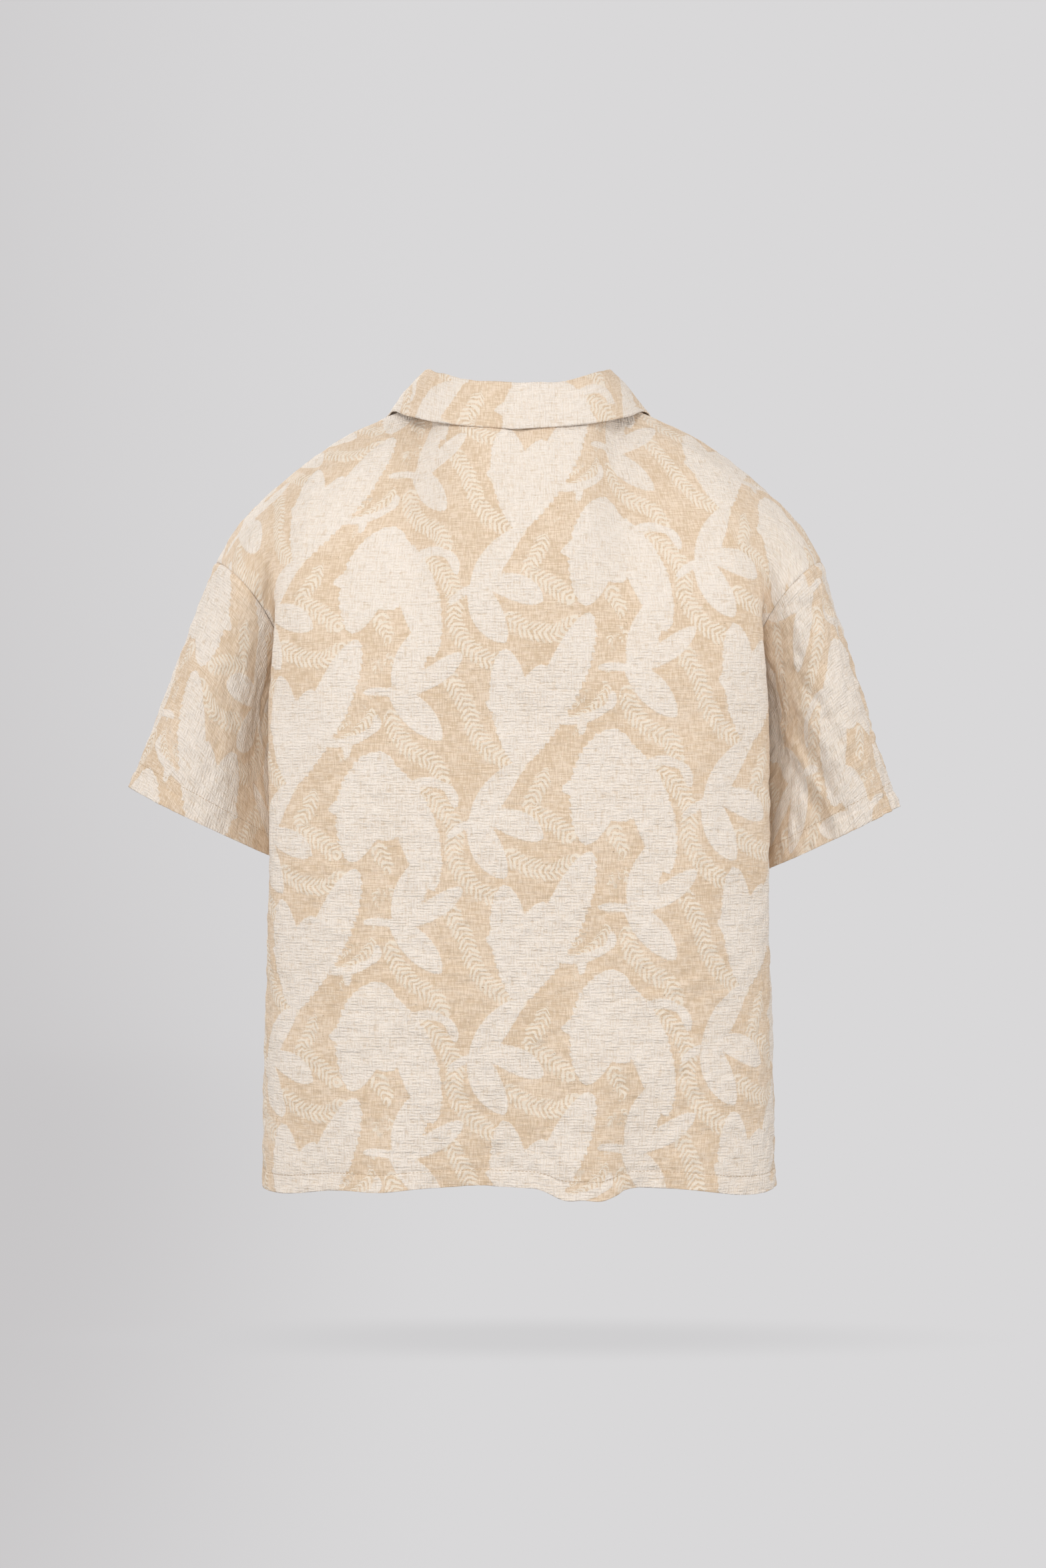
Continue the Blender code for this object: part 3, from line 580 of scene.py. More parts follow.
def makeClothMaterial():
    # linen and cotton double gauze, jacquard woven: matte, with ridges, crinkles and small dark slubs, and
    # painted shade in the crinkles' hollows
    # its threads and slubs are drawn a little coarser than real ones, so that they show in the render
    material, tree, shader = newMaterial("jacquardGauze")
    look = clothLook
    maths, vectorMaths, noise = "ShaderNodeMath", "ShaderNodeVectorMath", "ShaderNodeTexNoise"
    mix, ramp, soft = "ShaderNodeMix", "ShaderNodeMapRange", "SMOOTHSTEP"
    cloth = addNode(tree, "ShaderNodeAttribute", attribute_name="cloth").outputs["Vector"]
    motif = addNode(tree, "ShaderNodeAttribute", attribute_name="motif").outputs["Vector"]
    place = addNode(tree, "ShaderNodeSeparateXYZ", {0: cloth})
    fields = addNode(tree, "ShaderNodeSeparateXYZ", {0: motif})
    leaf, across, along = fields.outputs[0], fields.outputs[1], fields.outputs[2]

    # the leaves end at whole threads, so their edge frays by about a millimetre
    frayNoise = addNode(tree, noise, {"Vector": cloth, "Scale": look["frayScale"], "Detail": 3.0})
    fray = addNode(tree, maths, {0: frayNoise.outputs["Fac"], 1: 0.5}, operation="SUBTRACT")
    leafEdge = addNode(tree, maths, {0: fray.outputs[0], 1: look["frayReach"], 2: leaf},
                       operation="MULTIPLY_ADD")
    leafMask = addNode(tree, ramp, {0: leafEdge.outputs[0], 1: look["leafEdge"], 2: -look["leafEdge"]},
                       interpolation_type=soft)

    # fronds: slanted leaflets of 5 mm pitch on both sides of a spine, in bands about 18 mm wide
    slant = addNode(tree, maths, {0: across, 1: look["leafletSlant"], 2: along}, operation="MULTIPLY_ADD")
    curl = addNode(tree, noise, {"Vector": cloth, "Scale": look["curlScale"], "Detail": 2.0})
    slantCurl = addNode(tree, maths, {0: curl.outputs["Fac"], 1: look["leafletCurl"], 2: slant.outputs[0]},
                        operation="MULTIPLY_ADD")
    leaflet = addNode(tree, maths, {0: slantCurl.outputs[0], 1: look["leafletHalfPitch"]},
                      operation="PINGPONG")
    leafletMask = addNode(tree, ramp, {0: leaflet.outputs[0], 1: look["leafletEdges"][0],
                                       2: look["leafletEdges"][1]}, interpolation_type=soft)
    rim = addNode(tree, maths, {0: curl.outputs["Fac"], 1: look["bandCurl"], 2: across},
                  operation="MULTIPLY_ADD")
    band = addNode(tree, ramp, {0: rim.outputs[0], 1: look["bandEdges"][0], 2: look["bandEdges"][1]},
                   interpolation_type=soft)
    frondMask = addNode(tree, maths, {0: leafletMask.outputs[0], 1: band.outputs[0]}, operation="MULTIPLY")

    # small patches of upright and of level ridges
    patch = addNode(tree, noise, {"Vector": cloth, "Scale": 1 / look["patch"], "Detail": 1.0})
    upright = addNode(tree, ramp, {0: patch.outputs["Fac"], 1: look["patchEdges"][0],
                                   2: look["patchEdges"][1]}, interpolation_type=soft)
    wander = addNode(tree, noise, {"Vector": cloth, "Scale": look["wanderScale"], "Detail": 2.0})
    waves = {}
    for axis, name in enumerate("uv"):
        bent = addNode(tree, maths, {0: wander.outputs["Fac"], 1: look["wanderReach"],
                                     2: place.outputs[axis]}, operation="MULTIPLY_ADD")
        for size in ("ridge", "thread"):
            turn = addNode(tree, maths, {0: bent.outputs[0], 1: 2 * math.pi / look[size]},
                           operation="MULTIPLY")
            waves[size + name] = addNode(tree, maths, {0: turn.outputs[0]}, operation="SINE").outputs[0]
    ridges = addNode(tree, mix, {0: upright.outputs[0], 2: waves["ridgeu"], 3: waves["ridgev"]},
                     data_type="FLOAT")
    threads = addNode(tree, maths, {0: waves["threadu"], 1: waves["threadv"]}, operation="MULTIPLY")

    # uneven linen yarn: streaks along both ways of the weave, and short dark slubs
    noises = {}
    for name, detail in (("weftStreak", 3.0), ("warpStreak", 3.0), ("slubScale", 1.0), ("weftCrinkle", 2.0),
                         ("warpCrinkle", 2.0)):
        drawn = addNode(tree, vectorMaths, {0: cloth, 1: look[name]}, operation="MULTIPLY")
        grain = addNode(tree, noise, {"Vector": drawn.outputs[0], "Scale": 1.0, "Detail": detail})
        noises[name] = grain.outputs["Fac"]
    yarn = addNode(tree, maths, {0: noises["weftStreak"], 1: noises["warpStreak"]}, operation="ADD")
    broad = addNode(tree, noise, {"Vector": cloth, "Scale": look["broadScale"], "Detail": 2.0})
    yarnTone = addNode(tree, maths, {0: broad.outputs["Fac"], 1: look["broadTint"], 2: yarn.outputs[0]},
                       operation="MULTIPLY_ADD")
    slubShape = addNode(tree, ramp, {0: noises["slubScale"], 1: look["slubTones"][0], 2: look["slubTones"][1],
                                     4: look["slubShare"]}, interpolation_type=soft)
    slubShare = addNode(tree, ramp, {0: leafMask.outputs[0], 3: 1.0, 4: look["slubOnLeaf"]})
    slubs = addNode(tree, maths, {0: slubShape.outputs[0], 1: slubShare.outputs[0]}, operation="MULTIPLY")

    # crinkles: short hollows along the weft and the warp, with painted shade where they are deep
    crinkles = addNode(tree, maths, {0: noises["weftCrinkle"], 1: noises["warpCrinkle"]}, operation="ADD")
    crinkleShade = addNode(tree, ramp, {0: crinkles.outputs[0], 1: look["hollowShadeTones"][0], 2: look["hollowShadeTones"][1],
                                4: look["hollowShadeShare"]}, interpolation_type=soft)

    # colours, laid over each other from the ground up
    groundTone = addNode(tree, ramp, {0: yarnTone.outputs[0], 1: look["groundTones"][0],
                                      2: look["groundTones"][1]}, interpolation_type=soft)
    ridged = addNode(tree, maths, {0: ridges.outputs[0], 1: look["ridgeTint"], 2: yarnTone.outputs[0]},
                     operation="MULTIPLY_ADD")
    leafTone = addNode(tree, ramp, {0: ridged.outputs[0], 1: look["leafTones"][0], 2: look["leafTones"][1]},
                       interpolation_type=soft)
    colours = {name: hexToLinear(look[name])
               for name in ("ground", "groundShade", "leaf", "leafShade", "frond", "hollowShade", "slub")}
    cream = addNode(tree, mix, {0: leafTone.outputs[0], 6: colours["leafShade"], 7: colours["leaf"]},
                    data_type="RGBA")
    colour = addNode(tree, mix, {0: groundTone.outputs[0], 6: colours["groundShade"], 7: colours["ground"]},
                     data_type="RGBA")
    for share, over in ((frondMask, colours["frond"]), (leafMask, cream.outputs[2]),
                        (crinkleShade, colours["hollowShade"]), (slubs, colours["slub"])):
        colour = addNode(tree, mix, {0: share.outputs[0], 6: colour.outputs[2], 7: over}, data_type="RGBA")
    tree.links.new(colour.outputs[2], shader.inputs["Base Color"])

    # relief: ridges on the leaves, fine threads on the ground, raised leaflets, and crinkles over all
    threadRelief = addNode(tree, maths, {0: threads.outputs[0], 1: look["threadRelief"]},
                           operation="MULTIPLY")
    groundRelief = addNode(tree, maths, {0: frondMask.outputs[0], 1: look["frondRelief"],
                                         2: threadRelief.outputs[0]}, operation="MULTIPLY_ADD")
    leafRelief = addNode(tree, maths, {0: ridges.outputs[0], 1: look["ridgeRelief"], 2: look["leafRaise"]},
                         operation="MULTIPLY_ADD")
    relief = addNode(tree, mix, {0: leafMask.outputs[0], 2: groundRelief.outputs[0],
                                 3: leafRelief.outputs[0]}, data_type="FLOAT")
    height = addNode(tree, maths, {0: crinkles.outputs[0], 1: look["crinkleRelief"], 2: relief.outputs[0]},
                     operation="MULTIPLY_ADD")
    bump = addNode(tree, "ShaderNodeBump", {"Strength": look["bumpStrength"], "Distance": look["bumpDepth"],
                                            "Height": height.outputs[0]})
    tree.links.new(bump.outputs[0], shader.inputs["Normal"])
    shader.inputs["Roughness"].default_value = look["roughness"]
    shader.inputs["Sheen Weight"].default_value = look["sheen"]
    shader.inputs["Sheen Roughness"].default_value = look["sheenRoughness"]
    shader.inputs["Specular IOR Level"].default_value = look["specular"]
    return material


clothMaterial = makeClothMaterial()


# the cloth pieces
def mapPattern(u, v, shift=(0, 0), rising=False):
    # flat cloth coordinates in metres turned into the pattern's millimetres
    patternU, patternV = u * 1000 + shift[0], v * 1000 + shift[1]
    if rising:
        rise = np.interp(patternV, pattern["riseLevels"], pattern["rise"])
        patternV = patternV - rise * (patternU - pattern["riseFrom"]) / pattern["wide"]
    motif = np.stack(patternFields(patternU, patternV), axis=-1)
    return {"cloth": np.stack([u, v, 0 * u], axis=-1), "motif": motif}


seamLook = {"depth": 0.0010, "breadth": 0.0018}
hemLook = {
    "depth": 0.018, "stitchAt": 0.0155, "stitchBreadth": 0.0013, "pinch": 0.0006, "roll": 0.0005,
    "puckerWide": 0.0055, "puckerTall": 0.03, "pucker": 0.0007, "puckerReach": 0.024,
}
# the cloth's wall, thicker inwards where the hem is turned, over a short step
clothWall = {"lift": 0.0001, "thick": 0.0010, "hemExtra": 0.0009, "hemStep": 0.002}
# rows of a panel's mesh up from its edge, close together at the stitches
hemRows = (0, 0.0009, 0.0022, 0.0045, 0.007, 0.0095, 0.012) + tuple(
    hemLook["stitchAt"] + step for step in (-0.0016, -0.0007, 0, 0.0007, 0.0016, 0.0032))
stitchRow = hemRows.index(hemLook["stitchAt"])
sideNames = {1: "Left", -1: "Right"}


def seamDip(distance, depth=seamLook["depth"]):
    # the cloth turns down into a seam
    return -depth * np.exp(-(distance / seamLook["breadth"]) ** 2)


def hemShape(distance, u, seed):
    # a turned hem: a slight roll, a pinch along its stitches, puckers between them
    hem = hemLook
    roll = hem["roll"] * smooth(1 - distance / hem["depth"])
    pinch = -hem["pinch"] * np.exp(-((distance - hem["stitchAt"]) / hem["stitchBreadth"]) ** 2)
    pucker = lattice(u, distance, hem["puckerWide"], hem["puckerTall"], seed) * hem["pucker"]
    return roll + pinch + pucker * smooth(1 - distance / hem["puckerReach"])


def panelHeights(face, spacing):
    # heights at even steps of real length up a panel, measured a little over halfway to its side
    measuredAt, samples = 0.55, 1201
    dense = np.linspace(0, 2, samples)
    length = lengthAlong(bodyPoint(face, 1, measuredAt, dense))
    above = spacedLine(length[-1] - hemRows[-1], spacing)[len(sewnEdge):]
    return np.interp(np.concatenate([hemRows, hemRows[-1] + above]), length, dense)


def shellPair(points, normals, height, hemDistance=None):
    # outer and inner face of the cloth
    outer = points + normals * (cut["wall"] / 2 + clothWall["lift"] + height)[..., None]
    thick = np.full(height.shape, clothWall["thick"])
    if hemDistance is not None:
        step = clothWall["hemStep"]
        thick = thick + clothWall["hemExtra"] * smooth((hemLook["depth"] + step / 2 - hemDistance) / step)
    return outer, outer - normals * thick[..., None]


def declare(piece, node, points, ring=False):
    # a ring's points get their first column again; the piece goes under the root body, and the solid of the
    # same part is hidden
    if ring:
        points = np.concatenate([points, points[:, :1]], axis=1)
    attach(piece, "root")
    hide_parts(node)


# the crinkles grow livelier below the level livelyFrom
backLook = {"spacing": 0.0026, "calm": 0.75, "lively": 0.55, "livelyFrom": -0.30, "livelyOver": 0.25}


def makeBack():
    look = backLook
    shareLine = spacedLine(2 * cut["halfChest"], look["spacing"]) / cut["halfChest"] - 1
    heights = panelHeights(1, look["spacing"])
    left, right = (bodyPoint(1, side, np.abs(shareLine)[None, :], heights[:, None]) for side in (1, -1))
    points = np.where((shareLine < 0)[None, :, None], right, left)
    normals = gridNormals(points, 1)
    u, hemDistance = gridLengths(points)
    middle = len(shareLine) // 2
    underarm = int(np.argmin(np.abs(heights - 1)))
    u = -(u - u[:, middle:middle + 1])
    v = hemDistance - hemDistance[underarm:underarm + 1] + cut["underarmLevel"]
    sideSeam = np.minimum(np.abs(u - u[:, :1]), np.abs(u - u[:, -1:]))
    topSeam = hemDistance[-1:] - hemDistance
    low = smooth((look["livelyFrom"] - points[..., 2]) / look["livelyOver"])
    height = crinkleHeight(u, v, seeds["back"]) * flatToSeam(sideSeam) * (look["calm"] + look["lively"] * low)
    height = height + creaseHeight(points, normals, backCreases, 1)
    height = height + seamDip(sideSeam) + seamDip(topSeam) + hemShape(hemDistance, u, seeds["backHem"])
    outer, inner = shellPair(points, normals, height, hemDistance)
    piece = makeShell("backPanel", outer, inner, mapPattern(u, v, rising=True), clothMaterial)
    declare(piece, "back", points)
    return outer, normals, stitchRow


# lapCalm and lapHemCalm flatten the crinkles where the fronts lap
frontLook = {"spacing": 0.0030, "lapCalm": 0.6, "lapHemCalm": 0.5, "shift": {1: (38, 60), -1: (-20, 60)}}


def makeFront(side):
    look = frontLook
    low, high = -cut["overlapShare"], 1.0
    shareLine = low + spacedLine((high - low) * cut["halfChest"], look["spacing"]) / cut["halfChest"]
    heights = panelHeights(-1, look["spacing"])
    points = bodyPoint(-1, side, shareLine[None, :], heights[:, None])
    normals = gridNormals(points, -side)
    u, hemDistance = gridLengths(points)
    start = int(np.argmin(np.abs(shareLine)))
    underarm = int(np.argmin(np.abs(heights - 1)))
    u = side * (u - u[:, start:start + 1])
    v = hemDistance - hemDistance[underarm:underarm + 1] + cut["underarmLevel"]
    sideSeam = np.abs(u - u[:, -1:])
    topSeam = hemDistance[-1:] - hemDistance
    lapped = smooth((cut["lapTo"] - shareLine) / (cut["lapTo"] - cut["lapFrom"]))[None, :]
    hem = hemShape(hemDistance, u, seeds["frontHem"] + side) * (1 - look["lapHemCalm"] * lapped)
    height = crinkleHeight(u, v, seeds["front"] + side) * flatToSeam(sideSeam)
    height = height * (1 - look["lapCalm"] * lapped)
    height = height + seamDip(sideSeam) + seamDip(topSeam) * (shareLine > cut["neckShare"])[None, :] + hem
    outer, inner = shellPair(points, normals, height, hemDistance)
    fields = mapPattern(u, v, look["shift"][side])
    piece = makeShell("front" + sideNames[side], outer, inner, fields, clothMaterial)
    declare(piece, "front_" + sideNames[side].lower(), points)
    return outer, normals, stitchRow


def armholeLine(side, heights):
    back = bodyPoint(1, side, 1.0, heights)
    front = bodyPoint(-1, side, 1.0, heights)
    return np.concatenate([back, front[-2:0:-1]])


def sleevePoints(side, turns, rows):
    # the sleeve's surface at even turns round the armhole, up its back and down its front
    rises = 1 + np.array((0, 0.09, 0.20, 0.32, 0.44, 0.56, 0.68, 0.79, 0.88, 0.95, 1))
    loop = armholeLine(side, rises)
    length = lengthAlong(loop)
    total = length[-1] + np.linalg.norm(loop[0] - loop[-1])
    top = len(rises) - 1
    backTurn = math.pi * length[:top + 1] / length[top]
    frontTurn = math.pi * (1 + (length[top:] - length[top]) / (total - length[top]))
    onBack = bodyPoint(1, side, 1.0, np.interp(turns, backTurn, rises))
    down = (2 * math.pi - np.append(frontTurn, 2 * math.pi))[::-1]
    onFront = bodyPoint(-1, side, 1.0, np.interp(2 * math.pi - turns, down, rises))
    mirror = np.array((side, 1, 1))
    start = np.where((turns <= math.pi)[:, None], onBack, onFront) * mirror
    turn = turns[:, None]
    inner, outer = cuffs[side]
    depth = np.sin(turn) * np.array((0, cut["cuffHalfDepth"], 0))
    cuff = inner + (outer - inner) * (1 - np.cos(turn)) / 2 + depth
    under = np.cos(turn / 2) ** 4
    span = np.linalg.norm(cuff - start, axis=1, keepdims=True)
    startPull = (cuff - start) * (1 - under) + underarmPull * span * under
    grid = np.stack([hermite(start, startPull, cuff, cuff - start, t) for t in rows])
    outward = unit(grid - grid.mean(axis=1, keepdims=True))
    for row in sleeveFolds[side]:
        fold = dict(zip(sleeveFoldNames, row))
        off = (turns - fold["turn"] + math.pi) % (2 * math.pi) - math.pi
        shape = np.exp(-(off / fold["breadth"]) ** 2)
        fade = np.exp(-((rows - fold["deepest"]) / foldReach) ** 2) * np.clip(rows / foldClear, 0, 1)
        grid = grid + outward * (fold["push"] * fade[:, None] * shape)[..., None]
    return grid * mirror


sleeveCreases = {
    1: ((0.262, -0.235, 0.300, -0.385, 0.010, -0.0022),
        (0.292, -0.190, 0.336, -0.330, 0.016, 0.0016)),
    -1: ((-0.235, -0.300, -0.290, -0.400, 0.0040, -0.0027),
         (-0.240, -0.270, -0.305, -0.385, 0.0042, -0.0025),
         (-0.250, -0.235, -0.325, -0.360, 0.0045, -0.0024),
         (-0.240, -0.170, -0.300, -0.215, 0.0055, -0.0018),
         (-0.230, -0.145, -0.290, -0.185, 0.0055, -0.0016),
         (-0.238, -0.285, -0.298, -0.392, 0.0038, 0.0022),
         (-0.245, -0.255, -0.318, -0.372, 0.0042, 0.0021)),
}


# length is the sleeve's, in metres; clearOfStitch and stitchRows are shares of it, cuffRows are metres
sleeveLook = {
    "around": 0.50, "columns": 204, "length": 0.235, "spacing": 0.0026, "clearOfStitch": 0.012,
    "stitchRows": (-0.007, -0.003, 0, 0.003, 0.007), "cuffRows": (0.010, 0.0072, 0.0048, 0.0026, 0.0011, 0),
    "crinkle": {1: 1.1, -1: 1.9}, "seamDepth": {1: 0.0018, -1: 0.0009},
    "shift": {1: (-115, -116), -1: (60, -40)},
}


def makeSleeve(side):
    look = sleeveLook
    count, long = look["columns"], look["length"]
    turns = np.linspace(0, 2 * math.pi, count + 1)[:-1]
    stitch = 1 - hemLook["stitchAt"] / long
    body = spacedLine(long, look["spacing"], far=False) / long
    body = body[body < stitch - look["clearOfStitch"]]
    low, end = stitch + np.array(look["stitchRows"]), 1 - np.array(look["cuffRows"]) / long
    rows = np.concatenate([body, low, end])
    points = sleevePoints(side, turns, rows)
    normals = gridNormals(points, -side, ring=True)
    _, seam = gridLengths(points)
    u = 0 * seam + side * np.linspace(0, look["around"], count + 1)[None, :-1]
    hemDistance = seam[-1:] - seam
    height = crinkleHeight(u, -seam, seeds["sleeve"] + side) * look["crinkle"][side] * flatToSeam(seam)
    height = height + creaseHeight(points, normals, sleeveCreases[side], 1)
    height = height + seamDip(seam, look["seamDepth"][side])
    height = height + hemShape(hemDistance, u, seeds["sleeveHem"] + side)
    outer, inner = shellPair(points, normals, height, hemDistance)
    fields = mapPattern(u, -seam, look["shift"][side])
    piece = makeShell("sleeve" + sideNames[side], outer, inner, fields, clothMaterial, ring=True)
    declare(piece, "sleeve_" + sideNames[side].lower(), points, ring=True)
    return outer, normals, int(np.argmin(np.abs(hemDistance[:, 0] - hemLook["stitchAt"])))


# fallEdge and fallSpacing are shares of the collar's fall
collarLook = {
    "backColumns": 45, "frontColumns": 42, "standRows": 11, "standTop": 0.93, "foldRows": 9,
    "fallEdge": (0, 0.02, 0.045, 0.08), "fallSpacing": 0.055,
    "crinkle": 0.7, "waveWide": 0.028, "waveTall": 0.020, "wave": 0.0007,
    "neckFlat": 0.006, "endFlat": 0.005, "endStart": 0.2, "shift": (60, -95),
}


def collarPoints():
    # rows from the neck seam over the fold to the free edge, columns from gorge to gorge
    look = collarLook
    backShares = np.linspace(0, cut["neckShare"], look["backColumns"])
    frontShares = np.linspace(cut["gorgeShare"], cut["neckShare"], look["frontColumns"])[:-1]
    base = np.concatenate([bodyPoint(1, 1, backShares, 2), bodyPoint(-1, 1, frontShares[::-1], 2)])
    length = lengthAlong(base)
    neck = len(backShares) - 1
    along = np.interp(length, (0, length[neck], length[-1]), (0, cut["neckAlongCollar"], 1))
    fold, edge = (np.stack([readTable(collarSections, collarNames, name + axis, along) for axis in "XYZ"],
                           axis=-1) for name in ("fold", "edge"))
    rise = unit(fold - base)
    out = unit((edge - fold) - rise * np.sum((edge - fold) * rise, axis=-1, keepdims=True))
    radius = cut["foldRadius"]
    centre = fold + (out - rise) * radius
    rows = [base + (fold - base) * t for t in np.linspace(0, look["standTop"], look["standRows"])]
    for angle in np.linspace(0, math.pi, look["foldRows"]):
        rows.append(centre + radius * (rise * math.sin(angle) - out * math.cos(angle)))
    top = rows[-1]
    bulge = unit(np.cross(np.gradient(top, axis=0), edge - top))
    bulge = bulge * np.sign(np.sum(bulge * rise, axis=-1, keepdims=True)) * cut["collarBulge"]
    for share in spacedLine(1.0, look["fallSpacing"], edge=look["fallEdge"])[1:]:
        rows.append(top + (edge - top) * share + bulge * math.sin(math.pi * share))
    left = np.stack(rows)
    right = left[:, :0:-1] * np.array((-1, 1, 1))
    return np.concatenate([right, left], axis=1)


def makeCollar():
    look = collarLook
    points = collarPoints()
    normals = gridNormals(points, 1)
    u, v = gridLengths(points)
    middle = points.shape[1] // 2
    u = -(u - u[:, middle:middle + 1])
    ends = np.minimum(np.abs(u - u[:, :1]), np.abs(u - u[:, -1:]))
    wave = lattice(u, v, look["waveWide"], look["waveTall"], seeds["collarFall"]) * look["wave"]
    height = crinkleHeight(u, v, seeds["collar"]) * look["crinkle"] + wave
    height = height * smooth(v / look["neckFlat"]) * smooth(ends / look["endFlat"] + look["endStart"])
    outer, inner = shellPair(points, normals, height)
    piece = makeShell("collarPiece", outer, inner, mapPattern(u, -v, look["shift"]), clothMaterial)
    declare(piece, "collar", points)


reversLook = {
    "columns": 56, "rows": 24, "firstRow": 0.06, "rollHeight": 1.985, "crinkle": 0.7, "shift": (0, 30),
    "startScale": 0.26, "startHeight": 1.6, "topHeight": 1.999, "probe": 1e-4, "steps": 25, "stride": 0.7,
    "frameProbe": 1e-3,
}


def frontPlace(side, x, z):
    # share and height of the front panel at a place seen from the front, by small steps towards it
    look = reversLook
    small, stride = look["probe"], look["stride"]
    share = np.clip(np.abs(x) / look["startScale"], 0, 1)
    height = np.full_like(share, look["startHeight"])
    for _ in range(look["steps"]):
        here = bodyPoint(-1, side, share, height)
        along = (bodyPoint(-1, side, share + small, height) - here) / small
        up = (bodyPoint(-1, side, share, height + small) - here) / small
        gapX, gapZ = x - here[..., 0], z - here[..., 2]
        scale = along[..., 0] * up[..., 2] - along[..., 2] * up[..., 0]
        share = share + stride * (gapX * up[..., 2] - gapZ * up[..., 0]) / scale
        height = height + stride * (along[..., 0] * gapZ - along[..., 2] * gapX) / scale
        height = np.clip(height, 1, look["topHeight"])
    return share, height


def frontFrame(side, share, height):
    # a point of the front panel and the way that it faces
    small = reversLook["frameProbe"]
    here = bodyPoint(-1, side, share, height)
    along = bodyPoint(-1, side, share + small, height) - bodyPoint(-1, side, share - small, height)
    up = bodyPoint(-1, side, share, height + small / 2) - bodyPoint(-1, side, share, height - small / 2)
    return here, unit(np.cross(along, up)) * side


def makeRevers(side):
    look = reversLook
    shares = np.linspace(cut["reversShare"], cut["gorgeShare"] - cut["notchShare"], look["columns"])
    roll = bodyPoint(-1, side, shares, 2)
    edgeX = side * readTable(reversEdge, reversNames, "x", shares)
    edgeZ = readTable(reversEdge, reversNames, "z", shares)
    normal = frontFrame(side, shares, np.full_like(shares, look["rollHeight"]))[1]
    rows = [roll + normal * (cut["wall"] + cut["lapGap"])]
    for share in np.linspace(look["firstRow"], 1, look["rows"]):
        x = roll[:, 0] + (edgeX - roll[:, 0]) * share
        z = roll[:, 2] + (edgeZ - roll[:, 2]) * share
        point, normal = frontFrame(side, *frontPlace(side, x, z))
        rows.append(point + normal * cut["reversLift"])
    points = np.stack(rows)
    normals = gridNormals(points, -side)
    u, v = gridLengths(points)
    height = crinkleHeight(u, v, seeds["revers"] + side) * look["crinkle"]
    outer, inner = shellPair(points, normals, height)
    fields = mapPattern(u, v, look["shift"])
    piece = makeShell("revers" + sideNames[side], outer, inner, fields, clothMaterial)
    declare(piece, "revers_" + sideNames[side].lower(), points)


backParts = makeBack()
print("back panel ready")
frontParts = {side: makeFront(side) for side in sideNames}
print("fronts ready")
sleeveParts = {side: makeSleeve(side) for side in sideNames}
print("sleeves ready")
makeCollar()
for side in sideNames:
    makeRevers(side)
print("collar and revers ready")


# sewing
sewing = {
    "lift": 0.0001, "edgeColumn": 5, "thread": "#C7AC8A", "threadShade": "#A98C68", "fibreScale": 900.0,
    "roughness": 0.6, "sheen": 0.2,
}
# each kind of sewing: metres from stitch to stitch, length and radius, and radians of wobble and of turn
stitchNames = ("spacing", "length", "radius", "wobble", "quarterTurn", "seed")
seamStitch = (0.0034, 0.0026, 0.00024, 0.10, 0.0, 7)
crossStitch = (0.0030, 0.0034, 0.00032, 0.0, 0.0, 1)
satinStitch = (0.00042, 0.0013, 0.00020, 0.05, math.pi / 2, 3)
tackStitch = (0.00040, 0.0030, 0.00022, 0.05, math.pi / 2, 5)
slitShade = (0.0013, 0.0026, 0.00020, 0.0, 0.0, 1)


def makeThreadMaterial():
    # spun polyester sewing thread in a tan tone
    material, tree, shader = newMaterial("sewingThread")
    place = addNode(tree, "ShaderNodeTexCoord")
    fibre = addNode(tree, "ShaderNodeTexNoise", {"Vector": place.outputs["Object"], "Detail": 2.0,
                                                 "Scale": sewing["fibreScale"]})
    tone = addNode(tree, "ShaderNodeMix", {0: fibre.outputs["Fac"], 6: hexToLinear(sewing["threadShade"]),
                                           7: hexToLinear(sewing["thread"])}, data_type="RGBA")
    tree.links.new(tone.outputs[2], shader.inputs["Base Color"])
    shader.inputs["Roughness"].default_value = sewing["roughness"]
    shader.inputs["Sheen Weight"].default_value = sewing["sheen"]
    return material


